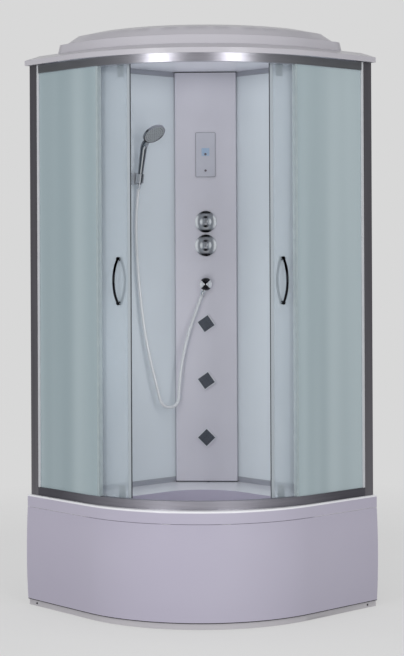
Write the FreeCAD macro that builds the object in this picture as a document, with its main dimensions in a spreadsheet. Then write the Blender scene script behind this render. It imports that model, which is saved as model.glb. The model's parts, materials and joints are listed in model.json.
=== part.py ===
import FreeCAD, Part
import math
import os
import Sketcher

App = FreeCAD
DOC = App.newDocument("ShowerCabin")

# Driving dimensions in millimetres. Plan sizes are measured from the corner of the room along its
# two walls, or along the diagonal that bisects them. Heights are above the floor.
SIZES = {
    # plan of the tray and of the framed enclosure that stands on it
    "tray_side": 900.0,
    "tray_radius": 550.0,
    "frame_side": 880.0,
    "frame_radius": 575.0,
    "roof_radius": 640.0,
    # levels
    "toe_height": 21.0,
    "seam_level": 359.0,
    "deck_level": 383.0,
    "rim_level": 402.0,
    "frame_height": 1559.0,
    "ceiling_rise": 23.0,
    # tray moulding
    "tray_wall": 5.0,
    "rim_round": 7.0,
    "front_rim_depth": 60.0,
    "basin_floor": 100.0,
    "basin_side": 205.0,
    "basin_front": 60.0,
    "basin_round": 200.0,
    "basin_corner_round": 80.0,
    "basin_floor_round": 30.0,
    # apron and toe strip
    "apron_wall": 4.0,
    "apron_bulge": 5.0,
    "apron_tuck": 6.0,
    "apron_gap": 1.5,
    "toe_wall": 3.0,
    "toe_setback": 6.0,
    "toe_clearance": 1.5,
    "toe_screw_diameter": 7.0,
    "toe_screw_head": 1.5,
    "toe_screw_shank": 4.0,
    "toe_screw_from_end": 45.0,
    "toe_tab_width": 30.0,
    "toe_tab_wall": 4.0,
    "toe_tab_low": 5.0,
    "toe_tab_rise": 14.0,
    "bracket_width": 30.0,
    "bracket_wall": 3.0,
    "bracket_reach": 40.0,
    "bracket_first_turn": 12.0,
    "bracket_turn_step": 22.0,
    # under-frame and feet
    "tube_width": 25.0,
    "tube_wall": 2.0,
    "frame_near": 160.0,
    "frame_middle": 500.0,
    "frame_far": 740.0,
    "stud_diameter": 12.0,
    "stud_clearance": 0.5,
    "nut_width": 19.0,
    "nut_height": 10.0,
    "pad_diameter": 52.0,
    "pad_height": 14.0,
    "pad_floor": 5.0,
    # waste
    "waste_place": 600.0,
    "waste_hole": 60.0,
    "waste_flange_diameter": 114.0,
    "waste_flange_thickness": 3.0,
    "waste_bore": 50.0,
    "waste_cover_diameter": 104.0,
    "waste_cover_thickness": 2.5,
    "waste_cover_rise": 6.0,
    "trap_diameter": 92.0,
    "trap_floor": 18.0,
    "trap_wall": 3.0,
    "pipe_diameter": 40.0,
    "pipe_wall": 2.0,
    "pipe_level": 42.0,
    "pipe_spigot": 60.0,
    "pipe_bead": 2.0,
    "pipe_bead_length": 4.0,
    "pipe_end": 12.0,
    # enclosure frame
    "rail_height": 30.0,
    "rail_depth": 22.5,
    "rail_shelf": 20.0,
    "rail_shelf_thickness": 2.5,
    "rail_shelf_setback": 8.0,
    "glass_inset": 6.0,
    "glass_thickness": 5.0,
    "groove_clearance": 0.4,
    "groove_depth": 12.0,
    "post_width": 45.0,
    "post_depth": 60.0,
    "post_wall": 2.0,
    "post_round": 4.0,
    "bead_width": 9.0,
    "bead_thickness": 5.0,
    "fixed_edge_angle": 37.3,
    "seal_grip": 6.0,
    "seal_lip": 10.0,
    "seal_thickness": 2.0,
    # sliding doors
    "door_lead_angle": 0.6,
    "door_trail_angle": 40.5,
    "door_setback": 18.0,
    "door_gap": 2.0,
    "lead_roller_angle": 4.5,
    "trail_roller_angle": 36.0,
    "roller_track_inset": 37.5,
    "left_straight_run": 158.2,
    "right_straight_run": 186.7,
    "roller_diameter": 16.0,
    "roller_width": 5.0,
    "axle_diameter": 5.0,
    "axle_clearance": 0.05,
    "axle_head": 8.0,
    "axle_head_thickness": 0.9,
    "roller_plate_width": 26.0,
    "roller_plate_overlap": 44.0,
    "roller_plate_thickness": 3.0,
    "roller_gap": 0.3,
    "door_seal_wall": 1.5,
    "door_seal_grip": 5.0,
    "door_seal_gap": 0.5,
    "handle_from_lead": 4.6,
    "handle_level": 1181.0,
    "handle_spacing": 154.0,
    "handle_reach": 40.0,
    "handle_bar": 10.0,
    "handle_boss": 14.0,
    "handle_boss_length": 8.0,
    "handle_bar_seat": 6.0,
    # back walls and corner column
    "wall_face": 15.0,
    "wall_thickness": 6.0,
    "wall_channel": 18.0,
    "wall_channel_lip": 4.0,
    "column_face": 156.0,
    "column_round": 26.0,
    "column_wall": 3.0,
    "column_return": 28.0,
    "column_seal": 4.0,
    "foot_dot": 14.0,
    "ceiling_thickness": 3.0,
    "ceiling_inset": 66.0,
    "ceiling_back": 16.0,
    # fittings on the column
    "knob_diameter": 84.0,
    "knob_rim": 6.0,
    "knob_shoulder": 17.0,
    "knob_cap_diameter": 42.0,
    "knob_cap_wall": 3.0,
    "knob_cap_rise": 7.0,
    "knob_nub_diameter": 10.0,
    "knob_nub_rise": 3.0,
    "knob_gap": 1.0,
    "spindle_diameter": 12.0,
    "spindle_length": 15.0,
    "spindle_clearance": 0.05,
    "hole_clearance": 1.0,
    "mixer_level": 1398.0,
    "diverter_level": 1306.0,
    "valve_diameter": 44.0,
    "valve_length": 50.0,
    "valve_bridge": 30.0,
    "inlet_diameter": 20.9,
    "inlet_length": 24.0,
    "inlet_spread": 60.0,
    "inlet_block_width": 34.0,
    "inlet_block_depth": 20.0,
    "outlet_level": 1155.0,
    "outlet_diameter": 50.0,
    "outlet_reach": 28.0,
    "outlet_flange_diameter": 40.0,
    "outlet_flange_thickness": 4.0,
    "outlet_shank_diameter": 20.0,
    "outlet_neck_diameter": 18.0,
    "outlet_neck_length": 28.0,
    "outlet_neck_lean": 20.0,
    "jet_first_level": 1001.0,
    "jet_spacing": 222.0,
    "jet_side": 55.0,
    "jet_face": 48.0,
    "jet_depth": 12.0,
    "jet_recess": 1.5,
    "jet_gap": 1.0,
    "jet_round": 3.0,
    "jet_turn": 35.0,
    "jet_last_turn": 45.0,
    "jet_stem_diameter": 16.0,
    "jet_stem_length": 18.0,
    "jet_body_diameter": 34.0,
    "jet_body_length": 30.0,
    "supply_diameter": 16.0,
    "branch_diameter": 12.0,
    "supply_setback": 48.0,
    "plate_level": 1660.0,
    "plate_width": 78.0,
    "plate_height": 174.0,
    "plate_thickness": 4.0,
    "plate_round": 4.0,
    "plate_screen": 31.0,
    "plate_screen_rise": 10.5,
    "plate_screen_depth": 0.8,
    "button_diameter": 9.0,
    "button_clearance": 0.2,
    "button_floor": 1.0,
    "button_gap": 1.3,
    "button_length": 2.6,
    "button_high_rise": 2.0,
    "button_low_drop": 62.0,
    # roof
    "roof_edge": 18.0,
    "roof_skirt_rise": 22.0,
    "roof_wall": 4.0,
    "dome_inset": 69.0,
    "dome_step_rise": 31.0,
    "dome_step_lean": 5.0,
    "dome_ledge": 14.0,
    "dome_upper_rise": 31.0,
    "dome_upper_lean": 33.0,
    "dome_crown": 16.0,
    "dome_crown_inset": 60.0,
    "dome_round": 60.0,
    # hand shower on the left back wall, and its hose
    "bracket_place": 400.0,
    "bracket_level": 1562.0,
    "holder_width": 30.0,
    "holder_height": 44.0,
    "holder_depth": 21.0,
    "holder_floor": 5.0,
    "holder_reach": 40.0,
    "clip_shank": 10.0,
    "holder_lean": 11.0,
    "clip_diameter": 30.0,
    "clip_height": 34.0,
    "clip_slot": 12.0,
    "grip_low_diameter": 18.0,
    "grip_high_diameter": 26.0,
    "grip_below_clip": 22.0,
    "grip_above_clip": 112.0,
    "grip_clearance": 0.4,
    "neck_bend": 40.0,
    "head_lean": 48.0,
    "head_reach": 60.0,
    "throat_tip_diameter": 5.0,
    "throat_depth": 13.0,
    "head_diameter": 90.0,
    "head_depth": 20.0,
    "head_rim": 8.0,
    "face_diameter": 80.0,
    "face_thickness": 3.0,
    "hose_diameter": 12.0,
    "nut_end_diameter": 13.0,
    "hose_nut_diameter": 17.0,
    "hose_nut_length": 18.0,
    # shared clearances
    "fit_gap": 0.3,
    "overrun": 5.0,
}


class Size:
    """A length or number together with the spreadsheet expression that gives it."""

    def __init__(self, value, text):
        self.value = float(value)
        self.text = text

    def join(self, other, sign, value):
        return Size(value, "(%s %s %s)" % (self.text, sign, other.text))

    def __add__(self, other):
        other = as_size(other)
        return self.join(other, "+", self.value + other.value)

    def __sub__(self, other):
        other = as_size(other)
        return self.join(other, "-", self.value - other.value)

    def __mul__(self, other):
        other = as_size(other)
        return self.join(other, "*", self.value * other.value)

    def __truediv__(self, other):
        other = as_size(other)
        return self.join(other, "/", self.value / other.value)

    def __neg__(self):
        return Size(-self.value, "(-1 * %s)" % self.text)

    def __rmul__(self, other):
        return as_size(other) * self


def as_size(number):
    """Wrap a plain number as a Size."""
    return number if isinstance(number, Size) else Size(number, repr(float(number)))


def root(size):
    return Size(math.sqrt(size.value), "sqrt(%s)" % size.text)


def sine(angle):
    return Size(math.sin(math.radians(angle.value)), "sin(%s * 1 deg)" % angle.text)


def cosine(angle):
    return Size(math.cos(math.radians(angle.value)), "cos(%s * 1 deg)" % angle.text)


class Sheet:
    """Gives each driving dimension as an attribute."""


S = Sheet()
sheet = DOC.addObject("Spreadsheet::Sheet", "Sizes")
for row, (alias, number) in enumerate(SIZES.items(), start=1):
    sheet.set("A%d" % row, alias)
    sheet.set("B%d" % row, str(number))
    sheet.setAlias("B%d" % row, alias)
    setattr(S, alias, Size(number, "Sizes." + alias))
DOC.recompute()

ZERO = as_size(0)
TWO = as_size(2)
HALF_TURN = 180
HEXAGON_SIDES = 6
BRACKET_COUNT = 4
QUARTER_TURN = 90
EIGHTH_TURN = as_size(45)
ROOT_TWO = root(TWO)
X_AXIS = App.Vector(1, 0, 0)
Y_AXIS = App.Vector(0, 1, 0)
Z_AXIS = App.Vector(0, 0, 1)

# Depth of the whole cabin along the diagonal, and the corner of the room on the +Y side
PLAN_DEPTH = ROOT_TWO * (S.tray_side - S.tray_radius) + S.tray_radius
CORNER_Y = PLAN_DEPTH / TWO
FRAME_TOP = S.rim_level + S.frame_height
CEILING = FRAME_TOP + S.ceiling_rise

# Turns of the local frames: plan along the left wall, along the diagonal, and pieces drawn from
# the front, on the column or on the left back wall
WALL_TURN = App.Rotation(Z_AXIS, -QUARTER_TURN - EIGHTH_TURN.value)
FRONT_TURN = App.Rotation(X_AXIS, QUARTER_TURN)
LEFT_WALL_TURN = App.Rotation(Z_AXIS, EIGHTH_TURN.value).multiply(FRONT_TURN)

NODES = []


def keep(obj, label):
    """Name an object as a sub-part of the cabin."""
    obj.Label = label
    NODES.append(obj)
    return obj


def place(obj, x, y, z, turn=None):
    """Give an object its place, bound to the sheet, and its turn."""
    obj.Placement = App.Placement(App.Vector(x.value, y.value, z.value), turn or App.Rotation())
    for axis, size in (("x", x), ("y", y), ("z", z)):
        obj.setExpression("Placement.Base." + axis, size.text)
    return obj


def on_walls(obj, z=ZERO):
    """Place a piece drawn in plan along the two walls."""
    return place(obj, ZERO, CORNER_Y, z, WALL_TURN)


def on_column(obj, across, level, out=ZERO):
    """Place a piece drawn from the front on the face of the column."""
    return place(obj, across, CORNER_Y - S.column_face - out, level, FRONT_TURN)


def plane_of(body, role):
    for feature in body.Origin.OriginFeatures:
        if feature.Role == role:
            return feature
    raise ValueError("no plane " + role)


class Arc:
    """An arc of a named radius to the next corner; big arcs pass the half circle."""

    def __init__(self, radius, turn):
        self.radius = radius
        self.turn = turn


def bound(sketch, index, size):
    sketch.setExpression("Constraints[%d]" % index, size.text)


def pin(sketch, piece, point, x, y):
    """Fix one point of a sketch by its distances from the origin."""
    bound(sketch, sketch.addConstraint(Sketcher.Constraint("DistanceX", -1, 1, piece, point, x.value)), x)
    bound(sketch, sketch.addConstraint(Sketcher.Constraint("DistanceY", -1, 1, piece, point, y.value)), y)


def draw_loop(sketch, loop):
    """Draw a closed loop of corners; an Arc between two corners joins them by an arc."""
    corners = [item for item in loop if not isinstance(item, Arc)]
    joins = []
    for index, item in enumerate(loop):
        if not isinstance(item, Arc):
            after = loop[(index + 1) % len(loop)]
            joins.append(after if isinstance(after, Arc) else None)
    first = sketch.GeometryCount
    ends = []
    for index, join in enumerate(joins):
        start = App.Vector(corners[index][0].value, corners[index][1].value, 0)
        finish_corner = corners[(index + 1) % len(corners)]
        finish = App.Vector(finish_corner[0].value, finish_corner[1].value, 0)
        if join is None:
            sketch.addGeometry(Part.LineSegment(start, finish), False)
            ends.append((1, 2))
            continue
        chord = finish - start
        half = chord.Length / 2
        rise = math.sqrt(max(join.radius.value ** 2 - half ** 2, 0))
        side = App.Vector(-chord.y, chord.x, 0).normalize()
        centre = (start + finish) * 0.5 + side * (rise if join.turn > 0 else -rise)
        begin = math.atan2(start.y - centre.y, start.x - centre.x)
        stop = math.atan2(finish.y - centre.y, finish.x - centre.x)
        circle = Part.Circle(centre, Z_AXIS, join.radius.value)
        if join.turn > 0:
            sketch.addGeometry(Part.ArcOfCircle(circle, begin, stop), False)
            ends.append((1, 2))
        else:
            sketch.addGeometry(Part.ArcOfCircle(circle, stop, begin), False)
            ends.append((2, 1))
    count = len(joins)
    for index in range(count):
        after = (index + 1) % count
        sketch.addConstraint(Sketcher.Constraint(
            "Coincident", first + index, ends[index][1], first + after, ends[after][0]))
    for index, corner in enumerate(corners):
        pin(sketch, first + index, ends[index][0], corner[0], corner[1])
    for index, join in enumerate(joins):
        if join is not None:
            radius = sketch.addConstraint(Sketcher.Constraint("Radius", first + index, join.radius.value))
            bound(sketch, radius, join.radius)


def draw_circle(sketch, x, y, radius):
    piece = sketch.addGeometry(Part.Circle(App.Vector(x.value, y.value, 0), Z_AXIS, radius.value), False)
    pin(sketch, piece, 3, x, y)
    bound(sketch, sketch.addConstraint(Sketcher.Constraint("Radius", piece, radius.value)), radius)


def new_body(name):
    return DOC.addObject("PartDesign::Body", name)


def new_sketch(body, name, loops, role="XY_Plane", lift=None):
    """A sketch on one of the body's own planes, lifted off it by a size."""
    sketch = body.newObject("Sketcher::SketchObject", name)
    sketch.AttachmentSupport = [(plane_of(body, role), "")]
    sketch.MapMode = "FlatFace"
    if lift is not None:
        sketch.AttachmentOffset = App.Placement(App.Vector(0, 0, lift.value), App.Rotation())
        sketch.setExpression("AttachmentOffset.Base.z", lift.text)
    for loop in loops:
        if isinstance(loop, tuple):
            draw_circle(sketch, *loop)
        else:
            draw_loop(sketch, loop)
    return sketch


def pad(body, name, loops, bottom, height, role="XY_Plane"):
    """Add the loops' area between two levels."""
    sketch = new_sketch(body, name + "_outline", loops, role, bottom)
    feature = body.newObject("PartDesign::Pad", name)
    feature.Profile = sketch
    feature.Length = height.value
    feature.setExpression("Length", height.text)
    return feature


def pocket(body, name, loops, bottom, height, role="XY_Plane"):
    """Cut the loops' area away between two levels."""
    DOC.recompute()
    before = body.Shape.Volume
    sketch = new_sketch(body, name + "_outline", loops, role, bottom)
    feature = body.newObject("PartDesign::Pocket", name)
    feature.Profile = sketch
    feature.Reversed = True
    feature.Length = height.value
    feature.setExpression("Length", height.text)
    DOC.recompute()
    if not feature.Shape.Volume < before:
        raise ValueError(name + " cuts nothing")
    return feature


def turned(body, name, loops):
    """Add a solid of revolution about the body's own Z axis, drawn as radius and height."""
    sketch = new_sketch(body, name + "_profile", loops, "XZ_Plane")
    feature = body.newObject("PartDesign::Revolution", name)
    feature.Profile = sketch
    feature.ReferenceAxis = (sketch, ["V_Axis"])
    feature.Angle = 2 * HALF_TURN
    return feature


def bored(body, name, loops):
    """Cut a solid of revolution about the body's own Z axis."""
    DOC.recompute()
    before = body.Shape.Volume
    sketch = new_sketch(body, name + "_profile", loops, "XZ_Plane")
    feature = body.newObject("PartDesign::Groove", name)
    feature.Profile = sketch
    feature.ReferenceAxis = (sketch, ["V_Axis"])
    feature.Angle = 2 * HALF_TURN
    DOC.recompute()
    if not feature.Shape.Volume < before:
        raise ValueError(name + " cuts nothing")
    return feature


def softened(body, name, radius, wanted):
    """Round the edges of the body's tip that the test picks."""
    DOC.recompute()
    base = body.Tip
    edges = ["Edge%d" % number for number, edge in enumerate(base.Shape.Edges, start=1) if wanted(edge)]
    if not edges:
        raise ValueError(name + " finds no edge")
    feature = body.newObject("PartDesign::Fillet", name)
    feature.Base = (base, edges)
    feature.Radius = radius.value
    feature.setExpression("Radius", radius.text)
    DOC.recompute()
    return feature


def box(x_low, x_high, y_low, y_high):
    """A rectangle as a loop."""
    return [(x_low, y_low), (x_high, y_low), (x_high, y_high), (x_low, y_high)]


def centred_box(width, height, x=ZERO, y=ZERO):
    return box(x - width / TWO, x + width / TWO, y - height / TWO, y + height / TWO)


def plate_loop(width, height, corner, x=ZERO, y=ZERO):
    """A rectangle with round corners."""
    left = x - width / TWO
    right = x + width / TWO
    low = y - height / TWO
    high = y + height / TWO
    return [(left + corner, low), (right - corner, low), Arc(corner, 1), (right, low + corner),
            (right, high - corner), Arc(corner, 1), (right - corner, high), (left + corner, high),
            Arc(corner, 1), (left, high - corner), (left, low + corner), Arc(corner, 1)]


def quadrant(side, radius, back=ZERO):
    """Plan outline of a quadrant: two backs, two short fronts and the bow between them."""
    turn = side - radius
    return [(back, back), (side, back), (side, turn), Arc(radius, 1), (turn, side), (back, side)]


def ring(outside, inside, centre, ends):
    """Strip along the front of the cabin between two distances from the walls."""
    return [(outside, ends), (outside, centre), Arc(outside - centre, 1), (centre, outside),
            (ends, outside), (ends, inside), (centre, inside), Arc(inside - centre, -1),
            (inside, centre), (inside, ends)]


def finish_and_write():
    """Check every object, then write each sub-part."""
    DOC.recompute()
    for obj in DOC.Objects:
        if "Invalid" in obj.State or "Error" in obj.State:
            raise ValueError("%s (%s) failed: %s" % (obj.Name, obj.Label, obj.State))
    os.makedirs("parts", exist_ok=True)
    for obj in NODES:
        shape = obj.Shape
        if shape.isNull() or not shape.isValid():
            raise ValueError(obj.Label + " has no valid shape")
    for obj in NODES:
        obj.Shape.exportStep(os.path.join("parts", obj.Label + ".step"))
    print("sub-parts written:", len(NODES))


# Tray: deep acrylic moulding with a raised rim under the frame

TRAY_TURN = S.tray_side - S.tray_radius
TRAY_SIDE = S.tray_side - S.apron_bulge
FRAME_TURN = S.frame_side - S.frame_radius
TRAY_UNDERSIDE = S.basin_floor - S.tray_wall
BASIN_TURN = S.basin_side + S.basin_round


def basin_loop(wall):
    """Outline of the basin, grown outwards by a wall."""
    low = S.basin_side - wall
    far = S.frame_side - S.basin_front + wall
    corner = S.basin_corner_round + wall
    inner = S.basin_round + wall
    return [(BASIN_TURN, low), (far - corner, low), Arc(corner, 1), (far, low + corner),
            (far, FRAME_TURN), Arc(far - FRAME_TURN, 1), (FRAME_TURN, far), (low + corner, far),
            Arc(corner, 1), (low, far - corner), (low, BASIN_TURN), Arc(inner, 1)]


def tray_outline(inset):
    return quadrant(TRAY_SIDE - inset, TRAY_SIDE - inset - TRAY_TURN, inset)


def make_tray():
    tray = new_body("Tray")
    pad(tray, "deck", [tray_outline(ZERO)], S.seam_level, S.deck_level - S.seam_level)
    rim_inside = S.frame_side - S.front_rim_depth
    pad(tray, "rim", [ring(TRAY_SIDE, rim_inside, TRAY_TURN, ZERO)], S.seam_level,
        S.rim_level - S.seam_level)
    pad(tray, "basin_wall", [basin_loop(S.tray_wall)], TRAY_UNDERSIDE, S.deck_level - TRAY_UNDERSIDE)
    pocket(tray, "basin", [basin_loop(ZERO)], S.basin_floor, S.deck_level - S.basin_floor + S.overrun)
    pocket(tray, "underside", [tray_outline(S.tray_wall), basin_loop(S.tray_wall)],
           S.seam_level - S.overrun, S.deck_level - S.tray_wall - S.seam_level + S.overrun)
    pocket(tray, "waste_opening", [(S.waste_place, S.waste_place, S.waste_hole / TWO)],
           TRAY_UNDERSIDE - S.overrun, S.tray_wall + TWO * S.overrun)
    top = S.rim_level.value
    reach = TRAY_TURN.value

    def on_outer_rim(edge):
        level = edge.BoundBox
        if abs(level.ZMin - top) > 0.01 or abs(level.ZMax - top) > 0.01:
            return False
        middle = edge.valueAt((edge.FirstParameter + edge.LastParameter) / 2)
        if middle.x > reach and middle.y > reach:
            return math.hypot(middle.x - reach, middle.y - reach) > TRAY_SIDE.value - reach - 1
        return max(middle.x, middle.y) > TRAY_SIDE.value - 1

    softened(tray, "rim_round", S.rim_round, on_outer_rim)

    def at_basin_floor(edge):
        level = edge.BoundBox
        if abs(level.ZMin - S.basin_floor.value) > 0.01 or abs(level.ZMax - S.basin_floor.value) > 0.01:
            return False
        return not (edge.Closed and edge.BoundBox.XLength < S.waste_hole.value + 1)

    softened(tray, "floor_round", S.basin_floor_round, at_basin_floor)
    return keep(on_walls(tray), "tray")


def make_apron():
    """Curved front panel, fullest at mid height."""
    low = S.toe_height + S.apron_gap
    high = S.seam_level - S.apron_gap
    middle = (low + high) / TWO
    foot = S.tray_side - S.apron_tuck
    apron = new_body("Apron")
    spine = new_sketch(apron, "apron_path", [])
    start = App.Vector(S.tray_side.value, 0, 0)
    turn_x = App.Vector(S.tray_side.value, TRAY_TURN.value, 0)
    turn_y = App.Vector(TRAY_TURN.value, S.tray_side.value, 0)
    centre = App.Vector(TRAY_TURN.value, TRAY_TURN.value, 0)
    spine.addGeometry(Part.LineSegment(start, turn_x), False)
    circle = Part.Circle(centre, Z_AXIS, S.tray_radius.value)
    spine.addGeometry(Part.ArcOfCircle(circle, 0, math.radians(QUARTER_TURN)), False)
    spine.addGeometry(Part.LineSegment(turn_y, App.Vector(0, S.tray_side.value, 0)), False)
    spine.addConstraint(Sketcher.Constraint("Coincident", 0, 2, 1, 1))
    spine.addConstraint(Sketcher.Constraint("Coincident", 1, 2, 2, 1))
    pin(spine, 0, 1, S.tray_side, ZERO)
    pin(spine, 0, 2, S.tray_side, TRAY_TURN)
    pin(spine, 1, 2, TRAY_TURN, S.tray_side)
    pin(spine, 2, 2, ZERO, S.tray_side)
    bound(spine, spine.addConstraint(Sketcher.Constraint("Radius", 1, S.tray_radius.value)), S.tray_radius)
    rise = (high - low) / TWO
    upper = (rise * rise + S.apron_bulge * S.apron_bulge) / (TWO * S.apron_bulge)
    lower = (rise * rise + S.apron_tuck * S.apron_tuck) / (TWO * S.apron_tuck)
    wall = S.apron_wall
    profile = [(foot, low), Arc(lower, 1), (S.tray_side, middle), Arc(upper, 1), (TRAY_SIDE, high),
               (TRAY_SIDE - wall, high), Arc(upper, -1), (S.tray_side - wall, middle), Arc(lower, -1),
               (foot - wall, low)]
    section = new_sketch(apron, "apron_profile", [profile], "XZ_Plane")
    feature = apron.newObject("PartDesign::AdditivePipe", "apron_sweep")
    feature.Profile = section
    feature.Spine = (spine, [])
    strip_in = foot - S.toe_setback - S.toe_wall
    tab = strip_in - S.fit_gap - S.toe_tab_wall
    across = (S.toe_screw_from_end - S.toe_tab_width / TWO, S.toe_screw_from_end + S.toe_tab_width / TWO)
    tabs = (("tab_root", foot - wall / TWO, low), ("tab", strip_in - S.fit_gap, S.toe_tab_low))
    for name, reach, start in tabs:
        pad(apron, name, [box(tab, reach, *across), box(*across, tab, reach)], start,
            low + S.toe_tab_rise - start)
    drilled = DOC.addObject("Part::Cut", "ApronDrilled")
    drilled.Base = on_walls(apron)
    drilled.Tool = group("ApronHoles", toe_pins("ApronHole", TOE_HOLE, tab - S.overrun, strip_in))
    return keep(drilled, "apron")


TOE_HOLE = S.toe_screw_shank + TWO * S.fit_gap


def toe_pins(name, diameter, inner, outer):
    """Cylinders at the toe strip's two screws, between two distances from the corner."""
    pins = []
    level = (S.toe_height + S.toe_clearance) / TWO
    across = (inner - S.toe_screw_from_end) / ROOT_TWO
    deep = (inner + S.toe_screw_from_end) / ROOT_TWO
    for side in (-1, 1):
        pin_piece = cylinder("%s_%d" % (name, side + 1), diameter, outer - inner)
        turn = App.Rotation(Z_AXIS, side * EIGHTH_TURN.value).multiply(App.Rotation(X_AXIS, QUARTER_TURN))
        pins.append(place(pin_piece, as_size(side) * across, CORNER_Y - deep, level, turn))
    return pins


def cylinder(name, diameter, length):
    piece = DOC.addObject("Part::Cylinder", name)
    piece.setExpression("Radius", (diameter / TWO).text)
    piece.setExpression("Height", length.text)
    return piece


def fused(name, pieces):
    whole = DOC.addObject("Part::MultiFuse", name)
    whole.Shapes = pieces
    return whole


def make_toe():
    outside = S.tray_side - S.apron_tuck - S.toe_setback
    strip = new_body("Toe")
    pad(strip, "strip", [ring(outside, outside - S.toe_wall, TRAY_TURN, ZERO)], S.toe_clearance,
        S.toe_height - S.toe_clearance)
    inside = outside - S.toe_wall
    drilled = DOC.addObject("Part::Cut", "ToeDrilled")
    drilled.Base = on_walls(strip)
    drilled.Tool = group("ToeHoles", toe_pins("ToeHole", TOE_HOLE, inside - S.overrun,
                                              outside + S.overrun))
    keep(drilled, "toe_strip")
    heads = toe_pins("ToeHead", S.toe_screw_diameter, outside, outside + S.toe_screw_head)
    tip = inside - S.fit_gap - S.toe_tab_wall
    shanks = toe_pins("ToeShank", S.toe_screw_shank, tip, outside)
    screws = [fused("ToeScrew_%d" % number, pair) for number, pair in enumerate(zip(heads, shanks))]
    keep(group("ToeScrews", screws), "toe_screws")


def hollow_grid(name, along, width, wall, low):
    """Square tubes laid as a grid, welded where they cross."""
    tubes = []
    near = S.frame_near - S.tube_width * TWO
    far = S.frame_far + S.tube_width
    for line_number, line in enumerate(along):
        for crossing in (False, True):
            tube = DOC.addObject("Part::Box", "%s_%d_%d" % (name, line_number, crossing))
            across = line - width / TWO + wall
            sides = (near, across) if not crossing else (across, near)
            lengths = (far - near, width - wall * TWO)
            if crossing:
                lengths = (lengths[1], lengths[0])
            tube.setExpression("Length", lengths[0].text)
            tube.setExpression("Width", lengths[1].text)
            tube.setExpression("Height", (width - wall * TWO).text)
            place(tube, sides[0], sides[1], low + wall)
            tubes.append(tube)
    grid = DOC.addObject("Part::MultiFuse", name)
    grid.Shapes = tubes
    return grid


FEET = [(S.frame_near, S.frame_near), (S.frame_far, S.frame_near), (S.frame_near, S.frame_far),
        (S.frame_far, S.frame_middle), (S.frame_middle, S.frame_far)]
GRID_LOW = TRAY_UNDERSIDE - S.tube_width


def row_of(name, kind, places, sizes, level):
    """The same primitive at each foot, in plan along the walls."""
    made = []
    for number, (x, y) in enumerate(places):
        piece = DOC.addObject(kind, "%s_%d" % (name, number))
        for prop, size in sizes.items():
            piece.setExpression(prop, size.text)
        place(piece, x, y, level)
        made.append(piece)
    return made


def group(name, pieces):
    """Separate solids kept together as one object."""
    gathered = DOC.addObject("Part::Compound", name)
    gathered.Links = pieces
    return gathered


def make_frame_and_feet():
    lines = (S.frame_near, S.frame_middle)
    outer = hollow_grid("GridOutside", lines, S.tube_width, ZERO, GRID_LOW)
    inner = hollow_grid("GridInside", lines, S.tube_width, S.tube_wall, GRID_LOW)
    hollow = DOC.addObject("Part::Cut", "GridHollow")
    hollow.Base = outer
    hollow.Tool = inner
    holes = row_of("StudHole", "Part::Cylinder", FEET, {
        "Radius": S.stud_diameter / TWO + S.stud_clearance,
        "Height": S.tube_width + TWO * S.overrun}, GRID_LOW - S.overrun)
    drilled = DOC.addObject("Part::Cut", "GridDrilled")
    drilled.Base = hollow
    drilled.Tool = group("StudHoles", holes)
    keep(on_walls(drilled), "tray_frame")
    stud_top = TRAY_UNDERSIDE - S.tube_wall
    studs = row_of("Stud", "Part::Cylinder", FEET, {
        "Radius": S.stud_diameter / TWO, "Height": stud_top - S.pad_floor}, S.pad_floor)
    nuts = []
    for level_number, level in enumerate((GRID_LOW - S.nut_height, S.pad_height)):
        for place_number, (x, y) in enumerate(FEET):
            name = "nut_%d_%d" % (level_number, place_number)
            nut = new_body(name.title())
            pad(nut, name, [hexagon(x, y, S.nut_width), (x, y, S.stud_diameter / TWO)], level,
                S.nut_height)
            nuts.append(nut)
    keep(on_walls(group("StudsAndNuts", studs + nuts)), "foot_studs_and_nuts")
    pads = []
    for number, (x, y) in enumerate(FEET):
        foot = new_body("FootPad_%d" % number)
        pad(foot, "disc_%d" % number, [(x, y, S.pad_diameter / TWO)], ZERO, S.pad_height)
        pocket(foot, "socket_%d" % number, [(x, y, S.stud_diameter / TWO)], S.pad_floor,
               S.pad_height - S.pad_floor + S.overrun)
        pads.append(foot)
    keep(on_walls(group("Pads", pads)), "foot_pads")


def hexagon(x, y, width):
    """A hexagon of a given width across its flats."""
    corner = width / root(as_size(3))
    loop = []
    for step in range(HEXAGON_SIDES):
        angle = as_size(step * HALF_TURN * 2 / HEXAGON_SIDES)
        loop.append((x + corner * cosine(angle), y + corner * sine(angle)))
    return loop


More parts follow.
